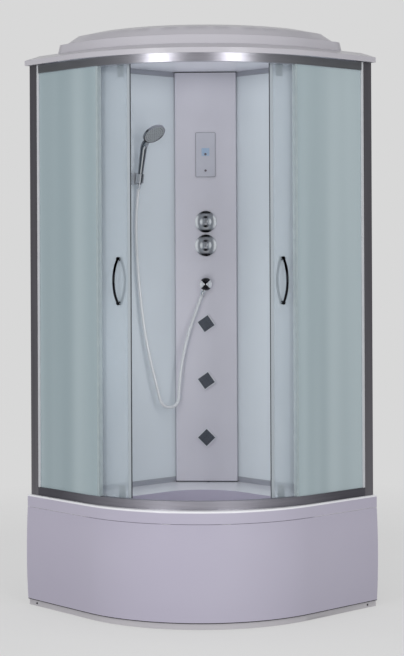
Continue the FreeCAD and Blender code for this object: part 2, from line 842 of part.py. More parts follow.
def make_waste():
    middle = S.waste_place
    flange = new_body("WasteFlange")
    top = S.basin_floor + S.waste_flange_thickness
    neck = S.waste_hole / TWO - S.fit_gap
    turned(flange, "flange", [[(S.waste_bore / TWO, S.basin_floor - S.tray_wall * TWO),
                               (neck, S.basin_floor - S.tray_wall * TWO), (neck, S.basin_floor),
                               (S.waste_flange_diameter / TWO, S.basin_floor),
                               (S.waste_flange_diameter / TWO, top), (S.waste_bore / TWO, top)]])
    across = ZERO
    deep = middle * ROOT_TWO
    keep(place(flange, across, CORNER_Y - deep, ZERO), "waste_flange")
    cover = new_body("WasteCover")
    edge = S.waste_cover_diameter / TWO
    crown = top + S.waste_cover_rise
    round_radius = (edge * edge + S.waste_cover_rise * S.waste_cover_rise) / (TWO * S.waste_cover_rise)
    wall = S.waste_cover_thickness
    turned(cover, "dome", [[(ZERO, crown), Arc(round_radius, -1), (edge, top), (edge, top + wall),
                            Arc(round_radius, 1), (ZERO, crown + wall)]])
    keep(place(cover, across, CORNER_Y - deep, S.fit_gap), "waste_cover")
    cup = new_body("WasteTrap")
    outer = S.trap_diameter / TWO
    inner = outer - S.trap_wall
    ceiling = TRAY_UNDERSIDE
    throat = neck + S.fit_gap
    turned(cup, "cup", [[(ZERO, S.trap_floor), (outer, S.trap_floor), (outer, ceiling),
                         (throat, ceiling), (throat, ceiling - S.tray_wall - S.fit_gap),
                         (inner, ceiling - S.tray_wall - S.fit_gap), (inner, S.trap_floor + S.trap_wall),
                         (ZERO, S.trap_floor + S.trap_wall)]])
    DOC.recompute()
    return keep_trap(cup, deep)


def keep_trap(cup, deep):
    """Bore the trap's side for its outlet pipe, then lay the pipe to the right-hand wall side."""
    pocket(cup, "outlet_bore", [(ZERO, S.pipe_level, S.pipe_diameter / TWO + S.axle_clearance)],
           ZERO, S.trap_diameter, "XZ_Plane")
    turn = App.Rotation(Z_AXIS, EIGHTH_TURN.value + HALF_TURN)
    keep(place(cup, ZERO, CORNER_Y - deep, ZERO, turn), "waste_trap")
    pipe = new_body("WastePipe")
    start = S.trap_diameter / TWO - S.trap_wall
    run = S.waste_place - start - S.pipe_end
    pad(pipe, "tube", [(ZERO, ZERO, S.pipe_diameter / TWO),
                       (ZERO, ZERO, S.pipe_diameter / TWO - S.pipe_wall)], start, run)
    pad(pipe, "bead", [(ZERO, ZERO, S.pipe_diameter / TWO + S.pipe_bead),
                       (ZERO, ZERO, S.pipe_diameter / TWO - S.pipe_wall)],
        start + run - S.pipe_spigot - S.pipe_bead_length, S.pipe_bead_length)
    lay = App.Rotation(Z_AXIS, EIGHTH_TURN.value).multiply(App.Rotation(X_AXIS, -QUARTER_TURN))
    keep(place(pipe, ZERO, CORNER_Y - deep, S.pipe_level, lay), "waste_pipe")


def make_apron_brackets():
    """Four steel angles that carry the apron from the tray's underside."""
    brackets = []
    reach = S.tray_radius - S.apron_bulge - S.apron_wall - S.fit_gap
    for number in range(BRACKET_COUNT):
        angle = new_body("ApronBracket_%d" % number)
        top = S.seam_level
        wall = S.bracket_wall
        low = reach - S.bracket_reach
        profile = [(low, top - wall), (reach - wall, top - wall), (reach - wall, top - S.bracket_reach),
                   (reach, top - S.bracket_reach), (reach, top), (low, top)]
        sketch = new_sketch(angle, "angle_%d" % number, [profile], "XZ_Plane",
                            -S.bracket_width / TWO)
        feature = angle.newObject("PartDesign::Pad", "angle_pad_%d" % number)
        feature.Profile = sketch
        feature.setExpression("Length", S.bracket_width.text)
        feature.Reversed = False
        turn = S.bracket_first_turn + as_size(number) * S.bracket_turn_step
        place(angle, TRAY_TURN, TRAY_TURN, ZERO, App.Rotation(Z_AXIS, turn.value))
        brackets.append(angle)
    keep(on_walls(group("ApronBrackets", brackets)), "apron_brackets")


make_tray()
make_apron()
make_toe()
make_frame_and_feet()
make_waste()
make_apron_brackets()


# Frame of the enclosure: curved rails between two wall posts, with the fixed glass in their grooves

RAIL_TOP = FRAME_TOP - S.rail_height
GLASS_OUT = S.frame_side - S.glass_inset
GLASS_IN = GLASS_OUT - S.glass_thickness
RAIL_IN = S.frame_side - S.rail_depth
SHELF_IN = RAIL_IN - S.rail_shelf
TOP_RAIL_END = S.post_width + S.bead_width
POST_IN = S.frame_side - S.post_depth
LOW_SHELF = S.rim_level + S.rail_height - S.rail_shelf_setback
HIGH_SHELF = RAIL_TOP + S.rail_shelf_setback


def mirrored(source, label):
    """The same piece on the other side of the cabin."""
    copy = DOC.addObject("Part::Mirroring", label.title().replace("_", ""))
    copy.Source = source
    copy.Base = App.Vector(0, 0, 0)
    copy.Normal = X_AXIS
    return keep(copy, label)


def both_sides(source, name):
    """Keep a left-hand piece and add its right-hand mirror image."""
    keep(source, "left_" + name)
    return mirrored(source, "right_" + name)


def pair_of(source, name):
    """One node that holds a left-hand piece and its right-hand mirror image."""
    copy = DOC.addObject("Part::Mirroring", source.Name + "Copy")
    copy.Source = source
    copy.Base = App.Vector(0, 0, 0)
    copy.Normal = X_AXIS
    return keep(group(source.Name + "Pair", [source, copy]), name)


def groove_ring(ends):
    return ring(GLASS_OUT + S.groove_clearance, GLASS_IN - S.groove_clearance, FRAME_TURN,
                ends - S.overrun)


def make_rails():
    low = new_body("BottomRail")
    pad(low, "low_box", [ring(S.frame_side, RAIL_IN, FRAME_TURN, S.post_width)], S.rim_level,
        S.rail_height)
    pad(low, "low_shelf", [ring(RAIL_IN, SHELF_IN, FRAME_TURN, S.post_width)],
        LOW_SHELF - S.rail_shelf_thickness, S.rail_shelf_thickness)
    pocket(low, "low_groove", [groove_ring(S.post_width)],
           S.rim_level + S.rail_height - S.groove_depth, S.groove_depth + S.overrun)
    keep(on_walls(low), "bottom_rail")
    high = new_body("TopRail")
    pad(high, "high_box", [ring(S.frame_side, RAIL_IN, FRAME_TURN, TOP_RAIL_END)], RAIL_TOP,
        S.rail_height)
    pad(high, "high_shelf", [ring(RAIL_IN, SHELF_IN, FRAME_TURN, TOP_RAIL_END)], HIGH_SHELF,
        S.rail_shelf_thickness)
    pocket(high, "high_groove", [groove_ring(TOP_RAIL_END)], RAIL_TOP - S.overrun,
           S.groove_depth + S.overrun)
    keep(on_walls(high), "top_rail")


def make_posts():
    """Hollow post with a groove for the fixed glass, and the pale bead that wedges the glass."""
    post = new_body("Post")
    width = S.post_width
    groove_low = GLASS_IN - S.groove_clearance
    groove_high = GLASS_OUT + S.groove_clearance
    groove_end = width - S.groove_depth
    outline = [(POST_IN, ZERO), (S.frame_side - S.post_round, ZERO), Arc(S.post_round, 1),
               (S.frame_side, S.post_round), (S.frame_side, width), (groove_high, width),
               (groove_high, groove_end), (groove_low, groove_end), (groove_low, width),
               (POST_IN, width)]
    hollow = box(POST_IN + S.post_wall, groove_low - S.post_wall, S.post_wall, width - S.post_wall)
    pad(post, "post_section", [outline, hollow], S.rim_level, S.frame_height)
    pair_of(on_walls(post), "wall_posts")
    bead = new_body("Bead")
    low = S.rim_level + S.rail_height
    pad(bead, "bead_section", [box(S.frame_side - S.bead_thickness, S.frame_side, width, TOP_RAIL_END)],
        low, FRAME_TOP - low)
    pair_of(on_walls(bead), "glazing_beads")


def at_angle(radius, angle):
    """Point on the front bow, by its angle from the diagonal towards the left wall."""
    around = EIGHTH_TURN - angle
    return (FRAME_TURN + radius * cosine(around), FRAME_TURN + radius * sine(around))


def make_fixed_glass():
    glass = new_body("FixedGlass")
    outside = GLASS_OUT - FRAME_TURN
    inside = GLASS_IN - FRAME_TURN
    start = S.post_width - S.groove_depth
    angle = S.fixed_edge_angle
    outline = [(GLASS_OUT, start), (GLASS_OUT, FRAME_TURN), Arc(outside, 1), at_angle(outside, angle),
               at_angle(inside, angle), Arc(inside, -1), (GLASS_IN, FRAME_TURN), (GLASS_IN, start)]
    low = S.rim_level + S.rail_height - S.groove_depth
    high = RAIL_TOP + S.groove_depth
    pad(glass, "pane", [outline], low, high - low)
    both_sides(on_walls(glass), "fixed_glass")
    seal = new_body("FixedEdgeSeal")
    wall = S.seal_thickness
    slack = S.fit_gap
    profile = [(inside - wall, -S.seal_grip), (inside - slack, -S.seal_grip), (inside - slack, slack),
               (outside + slack, slack), (outside + slack, -S.seal_grip),
               (outside + wall, -S.seal_grip), (outside + wall, wall), (inside - wall, wall),
               (inside - wall - S.seal_lip, wall), (inside - wall - S.seal_lip, ZERO),
               (inside - wall, ZERO)]
    foot = S.rim_level + S.rail_height
    pad(seal, "seal_section", [profile], foot, RAIL_TOP - foot)
    turn = App.Rotation(Z_AXIS, EIGHTH_TURN.value - angle.value)
    place(seal, ZERO, CORNER_Y - FRAME_TURN * ROOT_TWO, ZERO, WALL_TURN.multiply(turn))
    pair_of(seal, "fixed_edge_seals")


# Sliding doors: each is drawn closed, then turned open about the pole of its rolling motion

TRACK = S.frame_radius - S.roller_track_inset
DOOR_MIDDLE = TRACK - S.door_setback
DOOR_OUT = DOOR_MIDDLE + S.glass_thickness / TWO
DOOR_IN = DOOR_MIDDLE - S.glass_thickness / TWO
DOOR_LOW = LOW_SHELF + S.door_gap
DOOR_HIGH = HIGH_SHELF - S.door_gap
HIGH_AXLE = HIGH_SHELF + S.rail_shelf_thickness + S.roller_gap + S.roller_diameter / TWO
LOW_AXLE = LOW_SHELF - S.rail_shelf_thickness - S.roller_gap - S.roller_diameter / TWO
ROLLERS = [("top_lead", S.lead_roller_angle, HIGH_AXLE), ("top_trail", S.trail_roller_angle, HIGH_AXLE),
           ("low_lead", S.lead_roller_angle, LOW_AXLE), ("low_trail", S.trail_roller_angle, LOW_AXLE)]


def flat(point):
    return App.Vector(point[0].value, point[1].value, 0)


def door_motion(run):
    """Pole and angle that carry a closed door's rollers to their open places on the track."""
    centre = App.Vector(FRAME_TURN.value, FRAME_TURN.value, 0)
    radius = TRACK.value
    lead = flat(at_angle(TRACK, S.lead_roller_angle))
    trail = flat(at_angle(TRACK, S.trail_roller_angle))
    chord = (trail - lead).Length
    trail_open = centre + App.Vector(radius, -run.value, 0)
    reach = (trail_open - centre).Length
    opening = math.acos((reach ** 2 + radius ** 2 - chord ** 2) / (2 * reach * radius))
    around = opening - math.atan2(run.value, radius)
    lead_open = centre + App.Vector(radius * math.cos(around), radius * math.sin(around), 0)
    before = trail - lead
    after = trail_open - lead_open
    angle = math.atan2(after.y, after.x) - math.atan2(before.y, before.x)
    half_way = (lead + lead_open) * 0.5
    step = lead_open - lead
    pole = half_way + App.Vector(-step.y, step.x, 0) * (0.5 / math.tan(angle / 2))
    return pole, math.degrees(angle)


def opened(local, run):
    """Placement in the row of a piece that is placed on the closed door."""
    pole, angle = door_motion(run)
    swing = App.Rotation(Z_AXIS, angle)
    about_pole = App.Placement(pole - swing.multVec(pole), swing)
    walls = App.Placement(App.Vector(0, CORNER_Y.value, 0), WALL_TURN)
    return walls.multiply(about_pole).multiply(local)


def radial(angle, level, out):
    """Local frame on the closed door: X outwards, Y along the glass, Z up."""
    turn = App.Rotation(Z_AXIS, EIGHTH_TURN.value - angle.value)
    centre = App.Vector(FRAME_TURN.value, FRAME_TURN.value, level.value)
    return App.Placement(centre + turn.multVec(App.Vector(out.value, 0, 0)), turn)


def outward(angle, level, out):
    """Local frame on the closed door: Z outwards."""
    tilt = App.Placement(App.Vector(0, 0, 0), App.Rotation(Y_AXIS, QUARTER_TURN))
    return radial(angle, level, out).multiply(tilt)


def make_handle(name, inner):
    """Bow handle: a round bar bent to an arc between two bosses. X points away from the glass."""
    half = S.handle_spacing / TWO
    rise = S.handle_reach - S.handle_bar / TWO - S.handle_bar_seat
    bend = (half * half + rise * rise) / (TWO * rise)
    sweep = 4 * math.degrees(math.atan(rise.value / half.value))
    bar = DOC.addObject("Part::Torus", name + "Bar")
    bar.setExpression("Radius1", bend.text)
    bar.setExpression("Radius2", (S.handle_bar / TWO).text)
    bar.setExpression("Angle3", "4 * atan(%s / %s)" % (rise.text, half.text))
    place(bar, S.handle_bar_seat + rise - bend, ZERO, ZERO, App.Rotation(Z_AXIS, -sweep / 2))
    pieces = [bar]
    for side in (-1, 1):
        boss = DOC.addObject("Part::Cylinder", "%sBoss_%d" % (name, side + 1))
        boss.setExpression("Radius", (S.handle_boss / TWO).text)
        boss.setExpression("Height", S.handle_boss_length.text)
        place(boss, ZERO, as_size(side) * half, ZERO, App.Rotation(Y_AXIS, QUARTER_TURN))
        pieces.append(boss)
    handle = DOC.addObject("Part::MultiFuse", name)
    handle.Shapes = pieces
    upright = App.Placement(App.Vector(0, 0, 0), App.Rotation(X_AXIS, QUARTER_TURN))
    if inner:
        upright = App.Placement(App.Vector(0, 0, 0), App.Rotation(Z_AXIS, HALF_TURN)).multiply(upright)
    face = DOOR_IN - S.fit_gap if inner else DOOR_OUT + S.fit_gap
    return handle, radial(S.handle_from_lead + S.door_lead_angle, S.handle_level, face).multiply(upright)


def make_door(side, run):
    """All pieces of one door; the right-hand door is the mirror image of a left-hand one."""
    def finish(obj, local, name):
        obj.Placement = opened(local, run)
        if side == "left":
            return keep(obj, "left_" + name)
        return mirrored(obj, "right_" + name)

    tag = side.title()
    here = App.Placement()
    glass = new_body(tag + "DoorGlass")
    lead = S.door_lead_angle
    trail = S.door_trail_angle
    outline = [at_angle(DOOR_OUT, lead), at_angle(DOOR_IN, lead), Arc(DOOR_IN, -1),
               at_angle(DOOR_IN, trail), at_angle(DOOR_OUT, trail), Arc(DOOR_OUT, 1)]
    pad(glass, tag + "_pane", [outline], DOOR_LOW, DOOR_HIGH - DOOR_LOW)
    finish(glass, here, "door_glass")

    seal = new_body(tag + "DoorSeal")
    wall = S.door_seal_wall
    slack = S.fit_gap
    nose = DOOR_MIDDLE * sine(lead) - S.door_seal_gap
    profile = [(DOOR_IN - slack - wall, -S.door_seal_grip), (DOOR_IN - slack, -S.door_seal_grip),
               (DOOR_IN - slack, slack), (DOOR_OUT + slack, slack),
               (DOOR_OUT + slack, -S.door_seal_grip), (DOOR_OUT + slack + wall, -S.door_seal_grip),
               (DOOR_OUT + slack + wall, nose), (DOOR_IN - slack - wall, nose)]
    pad(seal, tag + "_seal_section", [profile], DOOR_LOW, DOOR_HIGH - DOOR_LOW)
    finish(seal, radial(lead, ZERO, ZERO), "door_seal")

    handles = []
    for kind, inner in (("Outer", False), ("Inner", True)):
        handle, local = make_handle(tag + kind + "Handle", inner)
        handle.Placement = local
        handles.append(handle)
    finish(group(tag + "Handles", handles), here, "door_handles")

    plates = []
    axles = []
    for name, angle, level in ROLLERS:
        high = level.value > S.handle_level.value
        plate_out = DOOR_IN - S.fit_gap * TWO
        reach = S.axle_head
        if high:
            span = (DOOR_HIGH - S.roller_plate_overlap, level + reach)
        else:
            span = (level - reach + S.fit_gap, DOOR_LOW + S.roller_plate_overlap)
        plate = new_body(tag + "Plate_" + name)
        pad(plate, tag + "_plate_" + name,
            [box(plate_out - S.roller_plate_thickness, plate_out, -S.roller_plate_width / TWO,
                 S.roller_plate_width / TWO)], span[0], span[1] - span[0])
        plate.Placement = radial(angle, ZERO, ZERO)
        plates.append(plate)
        axle = new_body(tag + "Axle_" + name)
        radius = S.axle_diameter / TWO
        wheel_out = TRACK + S.roller_width / TWO + S.fit_gap - plate_out
        head_out = wheel_out + S.axle_head_thickness
        turned(axle, tag + "_axle_" + name,
               [[(ZERO, ZERO), (radius, ZERO), (radius, wheel_out), (S.axle_head / TWO, wheel_out),
                 (S.axle_head / TWO, head_out), (ZERO, head_out)]])
        axle.Placement = outward(angle, level, plate_out)
        axles.append(axle)
    finish(group(tag + "RollerBrackets", plates + axles), here, "roller_brackets")
    for name, angle, level in ROLLERS:
        wheel = new_body(tag + "Roller_" + name)
        bore = S.axle_diameter / TWO + S.axle_clearance
        tread = S.roller_diameter / TWO
        half = S.roller_width / TWO
        turned(wheel, tag + "_roller_" + name,
               [[(bore, -half), (tread, -half), (tread, half), (bore, half)]])
        finish(wheel, outward(angle, level, TRACK), name + "_roller")


# Back walls, column, ceiling and roof

def make_back_walls():
    wall = new_body("BackWall")
    back = S.wall_face - S.wall_thickness
    start = S.wall_face + S.column_return
    end = POST_IN - S.fit_gap
    lip = S.wall_channel_lip
    seat = S.post_wall
    foot = S.deck_level + seat
    head = CEILING - seat
    pad(wall, "wall_pane", [box(start, end, back, S.wall_face)], foot, head - foot)
    both_sides(on_walls(wall), "back_wall")
    channels = []
    slack = S.fit_gap
    for name, low, up in (("low", S.deck_level, True), ("high", CEILING - S.wall_channel, False)):
        channel = new_body("WallChannel_" + name)
        pad(channel, name + "_channel", [box(start, end, back - lip, S.wall_face + lip)], low,
            S.wall_channel)
        slot = box(start - S.overrun, end + S.overrun, back - slack, S.wall_face + slack)
        if up:
            pocket(channel, name + "_slot", [slot], low + seat, S.wall_channel)
        else:
            pocket(channel, name + "_slot", [slot], low - seat, S.wall_channel)
        channels.append(on_walls(channel))
    pair_of(group("WallChannels", channels), "wall_channels")


COLUMN_CORNER = S.column_face * ROOT_TWO
SEAT = S.wall_face + S.fit_gap


def column_loop(inset):
    """Section of the corner column: a diagonal face whose rounded edges run back along the walls."""
    wall = SEAT + S.wall_channel_lip + inset
    reach = COLUMN_CORNER - inset * ROOT_TWO
    turn = (S.column_round - inset) * (ROOT_TWO - as_size(1))
    edge = reach - wall
    step = turn / ROOT_TWO
    far = S.wall_face + S.wall_channel_lip + S.column_return
    return wall, edge, turn, step, far


def column_outline():
    wall, edge, turn, step, far = column_loop(ZERO)
    back, inner_edge, inner_turn, inner_step, unused = column_loop(S.column_wall)
    outer = S.column_round
    inner = S.column_round - S.column_wall
    return [(far, wall), (edge - turn, wall), Arc(outer, 1), (edge - step, wall + step),
            (wall + step, edge - step), Arc(outer, 1), (wall, edge - turn), (wall, far), (back, far),
            (back, inner_edge - inner_turn), Arc(inner, -1), (back + inner_step, inner_edge - inner_step),
            (inner_edge - inner_step, back + inner_step), Arc(inner, -1),
            (inner_edge - inner_turn, back), (far, back)]


JET_LEVELS = [S.jet_first_level - as_size(step) * S.jet_spacing for step in range(3)]
COLUMN_HOLES = [(S.mixer_level, S.spindle_diameter), (S.diverter_level, S.spindle_diameter),
                (S.outlet_level, S.outlet_shank_diameter)]
COLUMN_HOLES += [(level, S.jet_stem_diameter) for level in JET_LEVELS]


def column_hole(level, diameter):
    """Clearance hole through the column's face."""
    hole = DOC.addObject("Part::Cylinder", "ColumnHole")
    hole.setExpression("Radius", (diameter / TWO + S.hole_clearance).text)
    hole.setExpression("Height", (S.column_wall + TWO * S.overrun).text)
    return on_column(hole, ZERO, level, -S.column_wall - S.overrun)


def make_column():
    low = S.deck_level + S.column_seal
    high = CEILING - S.column_seal
    shell = new_body("Column")
    pad(shell, "column_section", [column_outline()], low, high - low)
    on_walls(shell)
    drilled = DOC.addObject("Part::Cut", "ColumnDrilled")
    drilled.Base = shell
    drilled.Tool = group("ColumnHoles", [column_hole(*hole) for hole in COLUMN_HOLES])
    keep(drilled, "column_shell")
    seals = []
    for name, level in (("foot", S.deck_level), ("head", high)):
        seal = new_body("ColumnSeal_" + name)
        pad(seal, name + "_seal", [column_outline()], level, S.column_seal)
        seals.append(on_walls(seal))
    dot = DOC.addObject("Part::Cylinder", "FootDot")
    dot.setExpression("Radius", (S.foot_dot / TWO).text)
    dot.setExpression("Height", S.column_seal.text)
    place(dot, S.foot_dot / TWO, CORNER_Y - S.column_face, S.deck_level)
    foot = DOC.addObject("Part::MultiFuse", "FootSeal")
    foot.Shapes = [seals[0], dot]
    keep(group("ColumnSeals", [foot, seals[1]]), "column_seals")


def make_ceiling():
    panel = new_body("Ceiling")
    side = S.tray_side - S.ceiling_inset
    radius = S.roof_radius - S.ceiling_inset
    pad(panel, "ceiling_plate", [quadrant(side, radius, S.ceiling_back)], CEILING,
        S.ceiling_thickness)
    keep(on_walls(panel), "ceiling_panel")


def dome_outline(inset):
    """Plan outline of the dome with round corners, drawn in by an inset."""
    side = S.tray_side - S.dome_inset - inset
    radius = S.roof_radius - S.dome_inset - inset
    back = S.dome_inset + inset
    corner = S.dome_round
    turn = S.tray_side - S.roof_radius
    return [(back + corner, back), (side - corner, back), Arc(corner, 1), (side, back + corner),
            (side, turn), Arc(radius, 1), (turn, side), (back + corner, side), Arc(corner, 1),
            (back, side - corner), (back, back + corner), Arc(corner, 1)]


def loft(body, name, lower, upper, kind):
    """Straight-sided layer between two outlines, each given with its level."""
    DOC.recompute()
    first = new_sketch(body, name + "_lower", [lower[0]], "XY_Plane", lower[1])
    second = new_sketch(body, name + "_upper", [upper[0]], "XY_Plane", upper[1])
    feature = body.newObject("PartDesign::" + kind, name)
    feature.Profile = first
    feature.Sections = [second]
    feature.Ruled = True
    DOC.recompute()
    return feature


def roof_layers(wall):
    """Outlines of the roof from the flange to the crown, drawn in by a wall."""
    edge = FRAME_TOP + S.roof_edge
    skirt = edge + S.roof_skirt_rise
    step = skirt + S.dome_step_rise
    upper = step + S.dome_upper_rise
    lean = S.dome_step_lean
    ledge = lean + S.dome_ledge
    shoulder = ledge + S.dome_upper_lean
    full = S.tray_side - wall
    drawn_in = full - S.dome_inset
    radius = S.roof_radius - wall
    base = quadrant(full, radius, wall)
    top = quadrant(drawn_in, radius - S.dome_inset, wall)
    return [((base, edge - wall), (top, skirt - wall)),
            ((dome_outline(wall), skirt - wall), (dome_outline(lean + wall), step - wall)),
            ((dome_outline(ledge + wall), step - wall), (dome_outline(shoulder + wall), upper - wall)),
            ((dome_outline(shoulder + wall), upper - wall),
             (dome_outline(shoulder + S.dome_crown_inset + wall), upper + S.dome_crown - wall))]


def make_roof():
    roof = new_body("Roof")
    pad(roof, "flange", [quadrant(S.tray_side, S.roof_radius)], FRAME_TOP, S.roof_edge)
    for number, (lower, upper) in enumerate(roof_layers(ZERO)):
        loft(roof, "layer_%d" % number, lower, upper, "AdditiveLoft")
    wall = S.roof_wall
    pocket(roof, "flange_hollow", [quadrant(S.tray_side - wall, S.roof_radius - wall, wall)],
           FRAME_TOP - S.overrun, S.roof_edge - wall + S.overrun)
    for number, (lower, upper) in enumerate(roof_layers(wall)):
        loft(roof, "hollow_%d" % number, lower, upper, "SubtractiveLoft")
    keep(on_walls(roof), "roof")



# Fittings of the column, drawn from the front: X to the right, Y up, Z towards the bather

def make_knob(name, label, level):
    """Domed knob with a smaller raised cap and a nub, bored for its spindle."""
    bore = S.spindle_diameter / TWO + S.spindle_clearance
    edge = S.knob_diameter / TWO
    cap = S.knob_cap_diameter / TWO
    nub = S.knob_nub_diameter / TWO
    foot = S.knob_gap
    rim = foot + S.knob_rim
    shoulder = foot + S.knob_shoulder
    cap_edge = shoulder + S.knob_cap_wall
    cap_top = cap_edge + S.knob_cap_rise
    depth = S.spindle_length + S.knob_gap
    side = root((edge - cap) * (edge - cap) + (shoulder - rim) * (shoulder - rim))
    crown = root((cap - nub) * (cap - nub) + (cap_top - cap_edge) * (cap_top - cap_edge))
    knob = new_body(name)
    turned(knob, name + "_form",
           [[(bore, foot), (edge, foot), (edge, rim), Arc(side * TWO, 1), (cap, shoulder), (cap, cap_edge),
             Arc(crown * TWO, 1), (nub, cap_top), (nub, cap_top + S.knob_nub_rise),
             (ZERO, cap_top + S.knob_nub_rise), (ZERO, depth), (bore, depth)]])
    keep(on_column(knob, ZERO, level), label)


def make_valve():
    """One brass body with a spindle for each knob and the hot and cold inlets at its back."""
    behind = S.column_wall + S.valve_length
    pieces = []
    for name, level in (("Mixer", S.mixer_level), ("Diverter", S.diverter_level)):
        barrel = cylinder(name + "Barrel", S.valve_diameter, S.valve_length)
        pieces.append(on_column(barrel, ZERO, level, -behind))
        spindle = cylinder(name + "Spindle", S.spindle_diameter,
                           S.spindle_length + S.column_wall + S.overrun)
        pieces.append(on_column(spindle, ZERO, level, -S.column_wall - S.overrun))
    bridge = DOC.addObject("Part::Box", "ValveBridge")
    bridge.setExpression("Length", S.valve_bridge.text)
    bridge.setExpression("Width", (S.mixer_level - S.diverter_level).text)
    bridge.setExpression("Height", S.valve_bridge.text)
    pieces.append(on_column(bridge, -S.valve_bridge / TWO, S.diverter_level, -behind))
    block = DOC.addObject("Part::Box", "InletBlock")
    block.setExpression("Length", S.inlet_block_width.text)
    block.setExpression("Width", (S.inlet_spread + S.inlet_block_width).text)
    block.setExpression("Height", S.inlet_block_depth.text)
    pieces.append(on_column(block, -S.inlet_block_width / TWO,
                            S.mixer_level - (S.inlet_spread + S.inlet_block_width) / TWO,
                            -behind - S.inlet_block_depth + S.overrun))
    for side in (-1, 1):
        inlet = cylinder("Inlet_%d" % (side + 1), S.inlet_diameter, S.inlet_length + S.overrun)
        pieces.append(on_column(inlet, ZERO, S.mixer_level + as_size(side) * S.inlet_spread / TWO,
                                -behind - S.inlet_block_depth - S.inlet_length + S.overrun))
    keep(fused("Valve", pieces), "valve_body")


def make_outlet():
    """Ball-shaped hose outlet with its flange and leaning neck."""
    shank = cylinder("OutletShank", S.outlet_shank_diameter, S.outlet_reach + S.supply_setback)
    on_column(shank, ZERO, S.outlet_level, -S.supply_setback + S.supply_diameter / TWO)
    flange = cylinder("OutletFlange", S.outlet_flange_diameter, S.outlet_flange_thickness)
    on_column(flange, ZERO, S.outlet_level)
    ball = DOC.addObject("Part::Sphere", "OutletBall")
    ball.setExpression("Radius", (S.outlet_diameter / TWO).text)
    on_column(ball, ZERO, S.outlet_level, S.outlet_reach)
    neck = cylinder("OutletNeck", S.outlet_neck_diameter, S.outlet_neck_length)
    place(neck, ZERO, CORNER_Y - S.column_face - S.outlet_reach, S.outlet_level,
          App.Rotation(Y_AXIS, HALF_TURN + S.outlet_neck_lean.value))
    trimmed = DOC.addObject("Part::Cut", "OutletShankTrimmed")
    trimmed.Base = shank
    space = cylinder("SupplySpace", S.supply_diameter, S.mixer_level)
    trimmed.Tool = place(space, ZERO, CORNER_Y - S.column_face + S.supply_setback, ZERO)
    keep(fused("Outlet", [trimmed, flange, ball, neck]), "hose_outlet")
    nut = make_nut("OutletNut")
    lean = S.outlet_neck_lean
    place(nut, -S.outlet_neck_length * sine(lean), CORNER_Y - S.column_face - S.outlet_reach,
          S.outlet_level - S.outlet_neck_length * cosine(lean),
          App.Rotation(Y_AXIS, HALF_TURN + lean.value))
    keep(nut, "outlet_nut")


def make_nut(name):
    """Tapered hose nut; its wide end is at the origin."""
    nut = new_body(name)
    wide = S.hose_nut_diameter / TWO
    narrow = S.nut_end_diameter / TWO
    length = S.hose_nut_length
    turned(nut, name + "_form", [[(ZERO, ZERO), (wide, ZERO), (wide, length / TWO), (narrow, length),
                                  (ZERO, length)]])
    return nut


def make_jets():
    bodies = []
    socket = S.jet_stem_diameter / TWO + S.spindle_clearance
    for number, level in enumerate(JET_LEVELS, start=1):
        body = new_body("JetBody_%d" % number)
        back = -S.column_wall - S.jet_body_length
        outer = S.jet_body_diameter / TWO
        floor = back + S.jet_body_length - S.jet_stem_length
        turned(body, "jet_body_%d" % number,
               [[(ZERO, back), (outer, back), (outer, -S.column_wall), (socket, -S.column_wall),
                 (socket, floor), (ZERO, floor)]])
        bodies.append(on_column(body, ZERO, level))
        jet = new_body("Jet_%d" % number)
        half = S.jet_side
        pad(jet, "jet_block_%d" % number, [plate_loop(half, half, S.jet_round)], S.jet_gap, S.jet_depth)
        pocket(jet, "jet_recess_%d" % number, [centred_box(S.jet_face, S.jet_face)],
               S.jet_gap + S.jet_depth - S.jet_recess, S.jet_recess + S.overrun)
        stem = -S.column_wall - S.jet_stem_length + S.fit_gap
        pad(jet, "jet_stem_%d" % number, [(ZERO, ZERO, S.jet_stem_diameter / TWO)], stem,
            S.jet_gap - stem)
        turn = S.jet_last_turn if number == len(JET_LEVELS) else S.jet_turn
        on_column(jet, ZERO, level)
        jet.Placement.Rotation = FRONT_TURN.multiply(App.Rotation(Z_AXIS, turn.value))
        keep(jet, "jet_%d" % number)
    return bodies


def make_supply(fittings):
    """Pipe that feeds the outlet and the jets from the valve, with the jets' fittings."""
    setback = S.supply_setback
    high = S.diverter_level - S.valve_diameter / TWO
    low = JET_LEVELS[-1] - S.supply_diameter
    riser = cylinder("Riser", S.supply_diameter, high - low)
    place(riser, ZERO, CORNER_Y - S.column_face + setback, low)
    pieces = [riser]
    for number, level in enumerate(JET_LEVELS):
        branch = cylinder("Branch_%d" % number, S.branch_diameter,
                          setback - S.column_wall - S.jet_body_length)
        pieces.append(on_column(branch, ZERO, level, -setback))
    keep(group("SupplyAndFittings", [fused("Supply", pieces)] + fittings), "supply_pipe_and_fittings")


def make_control_plate():
    plate = new_body("ControlPlate")
    pad(plate, "plate", [plate_loop(S.plate_width, S.plate_height, S.plate_round)], ZERO,
        S.plate_thickness)
    pocket(plate, "screen", [centred_box(S.plate_screen, S.plate_screen, ZERO, S.plate_screen_rise)],
           S.plate_thickness - S.plate_screen_depth, S.plate_screen_depth + S.overrun)
    levels = (("upper", S.button_high_rise), ("lower", -S.button_low_drop))
    bore = S.button_diameter / TWO + S.button_clearance
    for name, rise in levels:
        pocket(plate, name + "_bore", [(ZERO, rise, bore)], S.button_floor,
               S.plate_thickness - S.button_floor + S.overrun)
        button = new_body(name.title() + "Button")
        pad(button, name + "_stud", [(ZERO, rise, S.button_diameter / TWO)],
            S.button_floor + S.button_gap, S.button_length)
        keep(on_column(button, ZERO, S.plate_level), name + "_button")
    keep(on_column(plate, ZERO, S.plate_level), "control_plate")


# Hand shower: X along the wall towards the corner, Y up, Z out of the wall

